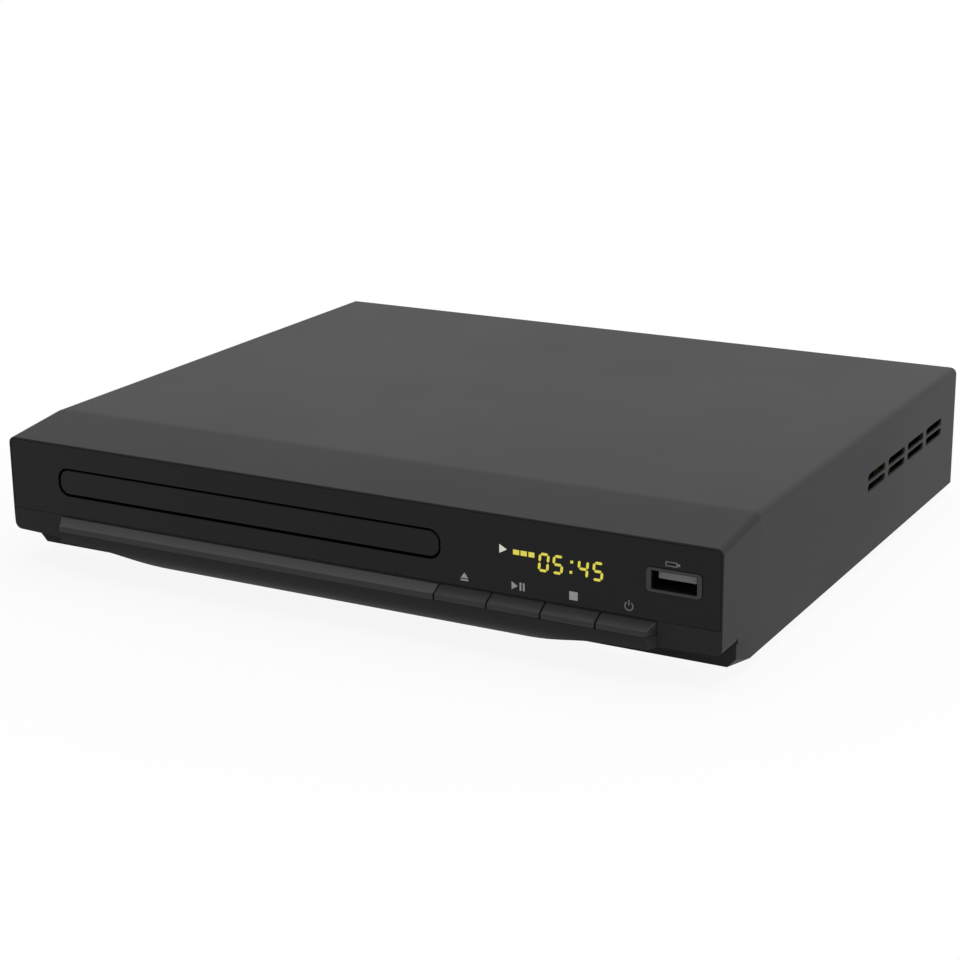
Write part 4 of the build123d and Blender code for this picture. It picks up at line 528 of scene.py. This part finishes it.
def ringSegment(x, height, inner, outer, start, sweep, count=26):
    # a bent bar as short straight pieces, so that each stays convex
    pieces = []
    for n in range(count):
        a = math.radians(start + sweep * n / count)
        b = math.radians(start + sweep * (n + 1) / count)
        pieces.append(
            [
                (x + inner * math.cos(a), height + inner * math.sin(a)),
                (x + outer * math.cos(a), height + outer * math.sin(a)),
                (x + outer * math.cos(b), height + outer * math.sin(b)),
                (x + inner * math.cos(b), height + inner * math.sin(b)),
            ]
        )
    return pieces


# lit display
display = {
    "text": "05:45",
    "digitLeft": [61.1, 65.15, 72.3, 76.5],
    "digitWidth": 3.1,
    "digitLow": 21.3,
    "digitHigh": 26.5,
    "stroke": 0.72,
    "gap": 0.12,
    "lean": 0.09,
    "colonX": 70.55,
    "colonHeights": (22.5, 25.3),
    "colonSize": 0.75,
    "lift": 0.04,
    "bars": ((54.0, 55.8), (56.2, 58.0), (58.5, 60.2)),
    "barHeights": (24.75, 26.1),
    "arrow": [(50.0, 24.55), (52.2, 25.75), (50.0, 26.95)],
    "color": (0.78, 0.69, 0.06),
    "strength": 0.85,
    "unlit": (0.02, 0.02, 0.004),
    "roughness": 0.4,
    "arrowColor": (0.72, 0.74, 0.62),
    "arrowStrength": 0.8,
    "arrowUnlit": (0.02, 0.02, 0.02),
    "arrowRoughness": 0.5,
}
segmentsOf = {"0": "abcdef", "5": "acdfg", "4": "bcfg"}


def segmentOutlines(left, low, width, high, stroke, gap, letters):
    # the seven bars of a digit with pointed ends
    right, top, half = left + width, high, stroke / 2
    middle = (low + high) / 2
    ends = {
        "a": ((left + half, top - half), (right - half, top - half)),
        "g": ((left + half, middle), (right - half, middle)),
        "d": ((left + half, low + half), (right - half, low + half)),
        "f": ((left + half, middle), (left + half, top - half)),
        "b": ((right - half, middle), (right - half, top - half)),
        "e": ((left + half, low + half), (left + half, middle)),
        "c": ((right - half, low + half), (right - half, middle)),
    }
    outlines = []
    for letter in letters:
        (x0, y0), (x1, y1) = ends[letter]
        if abs(y1 - y0) < 1e-6:
            x0, x1 = x0 + gap, x1 - gap
            outline = [
                (x0, y0), (x0 + half, y0 - half), (x1 - half, y0 - half),
                (x1, y0), (x1 - half, y0 + half), (x0 + half, y0 + half),
            ]
        else:
            y0, y1 = y0 + gap, y1 - gap
            outline = [
                (x0, y0), (x0 + half, y0 + half), (x0 + half, y1 - half),
                (x0, y1), (x0 - half, y1 - half), (x0 - half, y0 + half),
            ]
        outlines.append(outline)
    return outlines


def makeLit(name, unlit, roughness, color, strength):
    material = bpy.data.materials.new(name)
    material.use_nodes = True
    shader = material.node_tree.nodes["Principled BSDF"]
    shader.inputs["Base Color"].default_value = (*unlit, 1)
    shader.inputs["Roughness"].default_value = roughness
    shader.inputs["Emission Color"].default_value = (*color, 1)
    shader.inputs["Emission Strength"].default_value = strength
    return material


def buildDisplay():
    low, high = display["digitLow"], display["digitHigh"]
    outlines = []
    digits = [sign for sign in display["text"] if sign != ":"]
    for left, sign in zip(display["digitLeft"], digits):
        outlines += segmentOutlines(
            left, low, display["digitWidth"], high, display["stroke"], display["gap"], segmentsOf[sign]
        )
    half = display["colonSize"] / 2
    for height in display["colonHeights"]:
        x = display["colonX"]
        outlines.append(barOutline(x - half, height - half, x + half, height + half))
    leaning = [[(x + display["lean"] * (y - low), y) for x, y in outline] for outline in outlines]
    # lit bars left of the digits, as on a display that shows its mode
    barLow, barHigh = display["barHeights"]
    for left, right in display["bars"]:
        leaning.append(barOutline(left, barLow, right, barHigh))
    digitsMesh = printedMesh("digitsMesh", leaning, 0.0, -display["lift"])
    arrowMesh = printedMesh("arrowMesh", [display["arrow"]], 0.0, -display["lift"])
    glow = makeLit(
        "lit segments", display["unlit"], display["roughness"],
        display["color"], display["strength"],
    )
    pale = makeLit(
        "lit arrow", display["arrowUnlit"], display["arrowRoughness"],
        display["arrowColor"], display["arrowStrength"],
    )
    addPiece("display_digits", digitsMesh, glow, "case")
    addPiece("display_arrow", arrowMesh, pale, "case")


# printed signs above the buttons
signs = {
    "height": 16.2,
    "eject": 39.5,
    "play": 55.4,
    "stop": 71.4,
    "power": 87.0,
    "plugFromUsb": (-0.6, 4.7),
    "lift": 0.03,
    "white": (0.62, 0.62, 0.62),
    "dim": (0.24, 0.24, 0.245),
}


# outlines of each sign round its own middle, in mm
signShapes = {
    "eject": [[(-1.15, -0.35), (1.15, -0.35), (0, 1.2)], barOutline(-1.15, -1.1, 1.15, -0.65)],
    "play": [
        [(-1.9, -1.1), (-0.1, 0), (-1.9, 1.1)],
        barOutline(0.45, -1.1, 0.95, 1.1),
        barOutline(1.4, -1.1, 1.9, 1.1),
    ],
    "stop": [barOutline(-1.2, -1.15, 1.2, 1.15)],
    "power": [*ringSegment(0, -0.1, 0.95, 1.3, 125, 290), barOutline(-0.18, 0.1, 0.18, 1.5)],
    "plug": [
        barOutline(-1.6, -0.65, 1.1, -0.4),
        barOutline(-1.6, 0.4, 1.1, 0.65),
        barOutline(-1.85, -0.65, -1.6, 0.65),
        barOutline(1.1, -0.65, 1.35, 0.65),
        barOutline(1.35, -0.35, 2.1, 0.35),
    ],
}


inkLook = {"roughness": (0.45, 0.55), "grain": 3000.0, "bump": 0.1, "drift": 1.05}


def placedSign(sign, x, height):
    return [[(x + dx, height + dz) for dx, dz in outline] for outline in signShapes[sign]]


def buildSigns():
    whiteInk = makeFinish("white print", {**inkLook, "color": signs["white"]})
    dimInk = makeFinish("grey print", {**inkLook, "color": signs["dim"]})
    bright = []
    for sign in ("eject", "play", "stop"):
        bright += placedSign(sign, signs[sign], signs["height"])
    brightMesh = printedMesh("signsMesh", bright, 0.0, -signs["lift"])
    addPiece("button_signs", brightMesh, whiteInk, "case")
    dull = placedSign("power", signs["power"], signs["height"])
    usbMiddle = middleOf("usb_bezel")
    plugAcross, plugAbove = signs["plugFromUsb"]
    dull += placedSign("plug", usbMiddle.x / mm + plugAcross, (usbMiddle.z - caseZ) / mm + plugAbove)
    dullMesh = printedMesh("greySignsMesh", dull, 0.0, -signs["lift"])
    addPiece("grey_signs", dullMesh, dimInk, "case")


buildDisplay()
buildSigns()
print("display and signs made")


# things that repeat, made with Geometry Nodes
def startTree(name, inputs):
    tree = bpy.data.node_groups.new(name, "GeometryNodeTree")
    tree.interface.new_socket(name="Geometry", in_out="INPUT", socket_type="NodeSocketGeometry")
    for label, kind, value in inputs:
        socket = tree.interface.new_socket(name=label, in_out="INPUT", socket_type=kind)
        if value is not None:
            socket.default_value = value
    tree.interface.new_socket(name="Geometry", in_out="OUTPUT", socket_type="NodeSocketGeometry")
    return tree, tree.nodes.new("NodeGroupInput"), tree.nodes.new("NodeGroupOutput")


def endTree(tree, start, end, instances):
    real = tree.nodes.new("GeometryNodeRealizeInstances")
    paint = tree.nodes.new("GeometryNodeSetMaterial")
    tree.links.new(instances, real.inputs["Geometry"])
    tree.links.new(real.outputs["Geometry"], paint.inputs["Geometry"])
    tree.links.new(start.outputs["Material"], paint.inputs["Material"])
    tree.links.new(paint.outputs["Geometry"], end.inputs["Geometry"])
    return tree


def buildCrossTree():
    # a cross-shaped mark on every point of the given mesh
    tree, start, end = startTree(
        "screw crosses",
        [
            ("Span", "NodeSocketFloat", 0.0028),
            ("Width", "NodeSocketFloat", 0.0006),
            ("Depth", "NodeSocketFloat", 0.0001),
            ("Turn", "NodeSocketVector", (0.0, 0.0, 0.0)),
            ("Material", "NodeSocketMaterial", None),
        ],
    )
    link = tree.links.new
    joined = tree.nodes.new("GeometryNodeJoinGeometry")
    for order in (("Span", "Width"), ("Width", "Span")):
        size = tree.nodes.new("ShaderNodeCombineXYZ")
        link(start.outputs[order[0]], size.inputs["X"])
        link(start.outputs[order[1]], size.inputs["Y"])
        link(start.outputs["Depth"], size.inputs["Z"])
        arm = tree.nodes.new("GeometryNodeMeshCube")
        link(size.outputs["Vector"], arm.inputs["Size"])
        link(arm.outputs["Mesh"], joined.inputs["Geometry"])
    place = tree.nodes.new("GeometryNodeInstanceOnPoints")
    turn = tree.nodes.new("FunctionNodeEulerToRotation")
    link(start.outputs["Turn"], turn.inputs["Euler"])
    link(start.outputs["Geometry"], place.inputs["Points"])
    link(joined.outputs["Geometry"], place.inputs["Instance"])
    link(turn.outputs["Rotation"], place.inputs["Rotation"])
    return endTree(tree, start, end, place.outputs["Instances"])


def buildLegTree():
    # a straight row of small blocks, such as the legs of a chip
    tree, start, end = startTree(
        "leg row",
        [
            ("Count", "NodeSocketInt", 10),
            ("First", "NodeSocketVector", (0.0, 0.0, 0.0)),
            ("Step", "NodeSocketVector", (0.001, 0.0, 0.0)),
            ("Size", "NodeSocketVector", (0.0004, 0.0012, 0.0003)),
            ("Material", "NodeSocketMaterial", None),
        ],
    )
    link = tree.links.new
    line = tree.nodes.new("GeometryNodeMeshLine")
    line.mode = "OFFSET"
    link(start.outputs["Count"], line.inputs["Count"])
    link(start.outputs["First"], line.inputs["Start Location"])
    link(start.outputs["Step"], line.inputs["Offset"])
    leg = tree.nodes.new("GeometryNodeMeshCube")
    link(start.outputs["Size"], leg.inputs["Size"])
    place = tree.nodes.new("GeometryNodeInstanceOnPoints")
    link(line.outputs["Mesh"], place.inputs["Points"])
    link(leg.outputs["Mesh"], place.inputs["Instance"])
    return endTree(tree, start, end, place.outputs["Instances"])


def buildScatterTree():
    # small parts strewn over a patch of board, in quarter turns
    tree, start, end = startTree(
        "small board parts",
        [
            ("Distance", "NodeSocketFloat", 0.0035),
            ("Density", "NodeSocketFloat", 60000.0),
            ("Seed", "NodeSocketInt", 7),
            ("Size", "NodeSocketVector", (0.0016, 0.0008, 0.0006)),
            ("Material", "NodeSocketMaterial", None),
        ],
    )
    link = tree.links.new
    strew = tree.nodes.new("GeometryNodeDistributePointsOnFaces")
    strew.distribute_method = "POISSON"
    link(start.outputs["Geometry"], strew.inputs["Mesh"])
    link(start.outputs["Distance"], strew.inputs["Distance Min"])
    link(start.outputs["Density"], strew.inputs["Density Max"])
    link(start.outputs["Seed"], strew.inputs["Seed"])
    body = tree.nodes.new("GeometryNodeMeshCube")
    link(start.outputs["Size"], body.inputs["Size"])
    pick = tree.nodes.new("FunctionNodeRandomValue")
    pick.data_type = "INT"
    pick.inputs[4].default_value = 0
    pick.inputs[5].default_value = 1
    link(start.outputs["Seed"], pick.inputs["Seed"])
    quarter = tree.nodes.new("ShaderNodeMath")
    quarter.operation = "MULTIPLY"
    quarter.inputs[1].default_value = math.pi / 2
    link(pick.outputs[2], quarter.inputs[0])
    spin = tree.nodes.new("ShaderNodeCombineXYZ")
    link(quarter.outputs["Value"], spin.inputs["Z"])
    turn = tree.nodes.new("FunctionNodeEulerToRotation")
    link(spin.outputs["Vector"], turn.inputs["Euler"])
    place = tree.nodes.new("GeometryNodeInstanceOnPoints")
    link(strew.outputs["Points"], place.inputs["Points"])
    link(body.outputs["Mesh"], place.inputs["Instance"])
    link(turn.outputs["Rotation"], place.inputs["Rotation"])
    return endTree(tree, start, end, place.outputs["Instances"])


crossTree = buildCrossTree()
legTree = buildLegTree()
scatterTree = buildScatterTree()


def runTree(tree, name, values, body, baseMesh=None):
    mesh = baseMesh or bpy.data.meshes.new(name + "Base")
    carrier = bpy.data.objects.new(name + "Carrier", mesh)
    scene.collection.objects.link(carrier)
    modifier = carrier.modifiers.new(tree.name, "NODES")
    modifier.node_group = tree
    sockets = {item.name: item.identifier for item in tree.interface.items_tree if item.in_out == "INPUT"}
    for label, value in values.items():
        modifier[sockets[label]] = value
    finished = evaluatedMesh(carrier)
    bpy.data.objects.remove(carrier)
    finished.name = name + "Mesh"
    return addPiece(name, finished, values["Material"], body)


def pointMesh(name, points):
    mesh = bpy.data.meshes.new(name)
    mesh.from_pydata([tuple(p) for p in points], [], [])
    return mesh


def patchMesh(name, left, front, right, back, height):
    corners = ((left, front), (right, front), (right, back), (left, back))
    mesh = bpy.data.meshes.new(name)
    mesh.from_pydata([tuple(at(x, depth, height)) for x, depth in corners], [], [(0, 1, 2, 3)])
    return mesh


def solidBoxes(nodeName):
    # low and high corner of the box round every separate solid of a node
    shape = bmesh.new()
    shape.from_mesh(nodes[nodeName].data)
    bmesh.ops.remove_doubles(shape, verts=shape.verts, dist=mergeDistance)
    left = set(shape.verts)
    found = []
    while left:
        stack = [left.pop()]
        group = []
        while stack:
            vert = stack.pop()
            group.append(vert.co.copy())
            for edge in vert.link_edges:
                other = edge.other_vert(vert)
                if other in left:
                    left.remove(other)
                    stack.append(other)
        low = Vector([min(co[n] for co in group) for n in range(3)])
        high = Vector([max(co[n] for co in group) for n in range(3)])
        found.append((low, high))
    shape.free()
    return sorted(found, key=lambda pair: tuple(round(v, 6) for v in pair[0]))


screwCross = {"span": 2.6, "width": 0.55, "depth": 0.06, "sink": 0.02, "coverTurn": math.pi / 5}
# painted shade: the near-black crosses stand in for the shade inside the screw recesses
paintedRecessShade = makeFinish("painted screw recess shade", {"color": (0.015, 0.015, 0.015), "roughness": (0.5, 0.6), "drift": 1.1})


def buildScrewCrosses():
    crossValues = {
        "Span": screwCross["span"] * mm,
        "Width": screwCross["width"] * mm,
        "Depth": screwCross["depth"] * mm,
        "Material": paintedRecessShade,
    }
    backward, upward = [], []
    for low, high in solidBoxes("cover_screws"):
        backward.append(Vector(((low.x + high.x) / 2, high.y, (low.z + high.z) / 2)))
    runTree(
        crossTree, "cover_screw_crosses",
        {**crossValues, "Turn": (math.pi / 2, screwCross["coverTurn"], 0.0)}, "case",
        pointMesh("coverCrossPoints", [p - Vector((0, screwCross["sink"] * mm, 0)) for p in backward]),
    )
    inner = []
    for low, high in solidBoxes("chassis_screws"):
        size = high - low
        if size.z > size.y:
            upward.append(Vector(((low.x + high.x) / 2, (low.y + high.y) / 2, high.z)))
        else:
            inner.append(Vector(((low.x + high.x) / 2, high.y, (low.z + high.z) / 2)))
    runTree(
        crossTree, "chassis_screw_crosses", crossValues, "case",
        pointMesh("upCrossPoints", upward),
    )
    runTree(
        crossTree, "board_screw_crosses",
        {**crossValues, "Turn": (math.pi / 2, 0.0, 0.0)}, "case",
        pointMesh("innerCrossPoints", inner),
    )


chipLegs = {"pitch": 0.8, "reach": 1.0, "width": 0.35, "thickness": 0.25, "margin": 1.6}
# chips taller than this have no legs, and a chip shorter than this has them on its long sides only
legLimits = {"tall": 3, "short": 8}


def buildChipLegs():
    leads = materials["bright_steel"]
    made = 0
    for low, high in solidBoxes("main_chips"):
        size = (high - low) / mm
        if size.z > legLimits["tall"]:
            continue
        for axis in (0, 1):
            across = 1 - axis
            if size[axis] < legLimits["short"] < size[across]:
                continue
            length = size[axis] - chipLegs["margin"]
            count = int(length / chipLegs["pitch"])
            for end in (low, high):
                first = (low + high) / 2
                first.z = low.z + chipLegs["thickness"] * mm
                first[axis] -= (count - 1) * chipLegs["pitch"] * mm / 2
                first[across] = end[across] + (0.5 if end is high else -0.5) * chipLegs["reach"] * mm
                step = [0.0, 0.0, 0.0]
                step[axis] = chipLegs["pitch"] * mm
                legSize = [chipLegs["width"] * mm] * 3
                legSize[across] = chipLegs["reach"] * mm
                legSize[2] = chipLegs["thickness"] * mm
                made += 1
                runTree(
                    legTree, f"chip_legs_{made}",
                    {
                        "Count": count, "First": tuple(first), "Step": tuple(step),
                        "Size": tuple(legSize), "Material": leads,
                    },
                    "case",
                )


# each patch is left, front, right and back edge in mm, then the seed
boardParts = {
    "distance": 3.4,
    "density": 70000.0,
    "size": (0.0016, 0.0008, 0.0006),
    "above": 0.3,
    "front": ((46.0, 30.0, 100.0, 44.0), 7),
    "back": ((55.0, 140.0, 70.0, 168.0), 11),
    "side": ((44.0, 98.0, 52.0, 136.0), 5),
    "brown": {"color": (0.35, 0.24, 0.13), "roughness": (0.4, 0.5), "drift": 1.2, "driftScale": 200.0},
}


def buildBoardParts():
    boardTop = (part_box("main_pcb")[1].z - caseZ) / mm
    brown = makeFinish("small capacitors", boardParts["brown"])
    for place, material in (("front", brown), ("back", brown), ("side", materials["black_plastic"])):
        (left, front, right, back), seed = boardParts[place]
        name = "board_parts_" + place
        runTree(
            scatterTree, name,
            {
                "Distance": boardParts["distance"] * mm, "Density": boardParts["density"], "Seed": seed,
                "Size": boardParts["size"], "Material": material,
            },
            "case",
            patchMesh(name + "Patch", left, front, right, back, boardTop + boardParts["above"]),
        )


buildScrewCrosses()
buildChipLegs()
buildBoardParts()
print("repeated details made")


# studio
studio = {
    "floorSize": 6.0,
    "floorShade": 0.1,
    "floorShadeReach": (0.13, 0.26),
    "floorBounce": 0.5,
    "worldLight": 0.33,
    "keyWatts": 15.0,
    "keySize": 1.6,
    "keyPlace": (0.15, 0.35, 1.5),
    "sideWatts": 5.0,
    "sideSize": 0.8,
    "sidePlace": (1.4, 0.1, 0.6),
    "lampAim": (0, 0, 0.02),
}


def rayShare(tree):
    # 1 where the camera, a mirror or glass looks, 0 for the light that falls on the object
    path = tree.nodes.new("ShaderNodeLightPath")
    first = tree.nodes.new("ShaderNodeMath")
    first.operation = "MAXIMUM"
    second = tree.nodes.new("ShaderNodeMath")
    second.operation = "MAXIMUM"
    tree.links.new(path.outputs["Is Camera Ray"], first.inputs[0])
    tree.links.new(path.outputs["Is Glossy Ray"], first.inputs[1])
    tree.links.new(first.outputs["Value"], second.inputs[0])
    tree.links.new(path.outputs["Is Transmission Ray"], second.inputs[1])
    return second.outputs["Value"]


def buildStudio():
    world = bpy.data.worlds.new("studio")
    scene.world = world
    world.use_nodes = True
    tree = world.node_tree
    light = tree.nodes["Background"]
    light.inputs["Color"].default_value = (1, 1, 1, 1)
    light.inputs["Strength"].default_value = studio["worldLight"]
    white = tree.nodes.new("ShaderNodeBackground")
    white.inputs["Color"].default_value = (1, 1, 1, 1)
    white.inputs["Strength"].default_value = 1.0
    mix = tree.nodes.new("ShaderNodeMixShader")
    tree.links.new(rayShare(tree), mix.inputs["Fac"])
    tree.links.new(light.outputs["Background"], mix.inputs[1])
    tree.links.new(white.outputs["Background"], mix.inputs[2])
    tree.links.new(mix.outputs["Shader"], tree.nodes["World Output"].inputs["Surface"])

    half = studio["floorSize"] / 2
    floorMesh = bpy.data.meshes.new("floorMesh")
    corners = [(-half, -half, 0), (half, -half, 0), (half, half, 0), (-half, half, 0)]
    floorMesh.from_pydata(corners, [], [(0, 1, 2, 3)])
    floor = bpy.data.objects.new("floor", floorMesh)
    scene.collection.objects.link(floor)
    paper = bpy.data.materials.new("floor paper")
    paper.use_nodes = True
    tree = paper.node_tree
    link = tree.links.new
    bounce = tree.nodes["Principled BSDF"]
    bounce.inputs["Base Color"].default_value = (*[studio["floorBounce"]] * 3, 1)
    bounce.inputs["Roughness"].default_value = 0.9
    bounce.inputs["Specular IOR Level"].default_value = 0.0
    shaded = tree.nodes.new("ShaderNodeBsdfDiffuse")
    shaded.inputs["Color"].default_value = (0.98, 0.98, 0.98, 1)
    glow = tree.nodes.new("ShaderNodeEmission")
    glow.inputs["Color"].default_value = (1, 1, 1, 1)
    glow.inputs["Strength"].default_value = 1.0
    # the shaded share fades out with the distance from the object
    coords = tree.nodes.new("ShaderNodeTexCoord")
    away = tree.nodes.new("ShaderNodeVectorMath")
    away.operation = "LENGTH"
    link(coords.outputs["Object"], away.inputs[0])
    fade = tree.nodes.new("ShaderNodeMapRange")
    fade.interpolation_type = "SMOOTHSTEP"
    fade.inputs["From Min"].default_value = studio["floorShadeReach"][0]
    fade.inputs["From Max"].default_value = studio["floorShadeReach"][1]
    fade.inputs["To Min"].default_value = 1 - studio["floorShade"]
    fade.inputs["To Max"].default_value = 1.0
    link(away.outputs["Value"], fade.inputs["Value"])
    seen = tree.nodes.new("ShaderNodeMixShader")
    link(fade.outputs["Result"], seen.inputs["Fac"])
    link(shaded.outputs["BSDF"], seen.inputs[1])
    link(glow.outputs["Emission"], seen.inputs[2])
    mix = tree.nodes.new("ShaderNodeMixShader")
    link(rayShare(tree), mix.inputs["Fac"])
    link(bounce.outputs["BSDF"], mix.inputs[1])
    link(seen.outputs["Shader"], mix.inputs[2])
    link(mix.outputs["Shader"], tree.nodes["Material Output"].inputs["Surface"])
    floorMesh.materials.append(paper)

    for name, watts, size, place in (
        ("keyLight", studio["keyWatts"], studio["keySize"], studio["keyPlace"]),
        ("sideLight", studio["sideWatts"], studio["sideSize"], studio["sidePlace"]),
    ):
        lampData = bpy.data.lights.new(name, "AREA")
        lampData.energy = watts
        lampData.size = size
        lampData.shape = "SQUARE"
        lamp = bpy.data.objects.new(name, lampData)
        lamp.location = place
        aim = Vector(studio["lampAim"]) - Vector(place)
        lamp.rotation_euler = aim.to_track_quat("-Z", "Y").to_euler()
        scene.collection.objects.link(lamp)


# camera solved from the edges of the case, in mm from the middle of the front's lower edge
view = {
    "place": (305.17, -470.51, 209.50), "yaw": 28.987, "pitch": -17.154, "roll": 0.665,
    "lens": 82.0, "sensor": 36.0,
}


def buildCamera():
    data = bpy.data.cameras.new("photoCamera")
    data.lens = view["lens"]
    data.sensor_width = view["sensor"]
    data.clip_start = 0.01
    camera = bpy.data.objects.new("photoCamera", data)
    turned = (
        Matrix.Rotation(math.radians(view["yaw"]), 3, "Z")
        @ Matrix.Rotation(math.radians(view["pitch"]), 3, "X")
        @ Matrix.Rotation(math.radians(view["roll"]), 3, "Y")
    )
    right, forward, up = (turned.col[n] for n in range(3))
    facing = Matrix((right, up, -forward)).transposed().to_4x4()
    camera.matrix_world = Matrix.Translation(at(*view["place"])) @ facing
    scene.collection.objects.link(camera)
    scene.camera = camera


buildStudio()
buildCamera()
scene.view_settings.view_transform = "Standard"
print("studio and camera made")
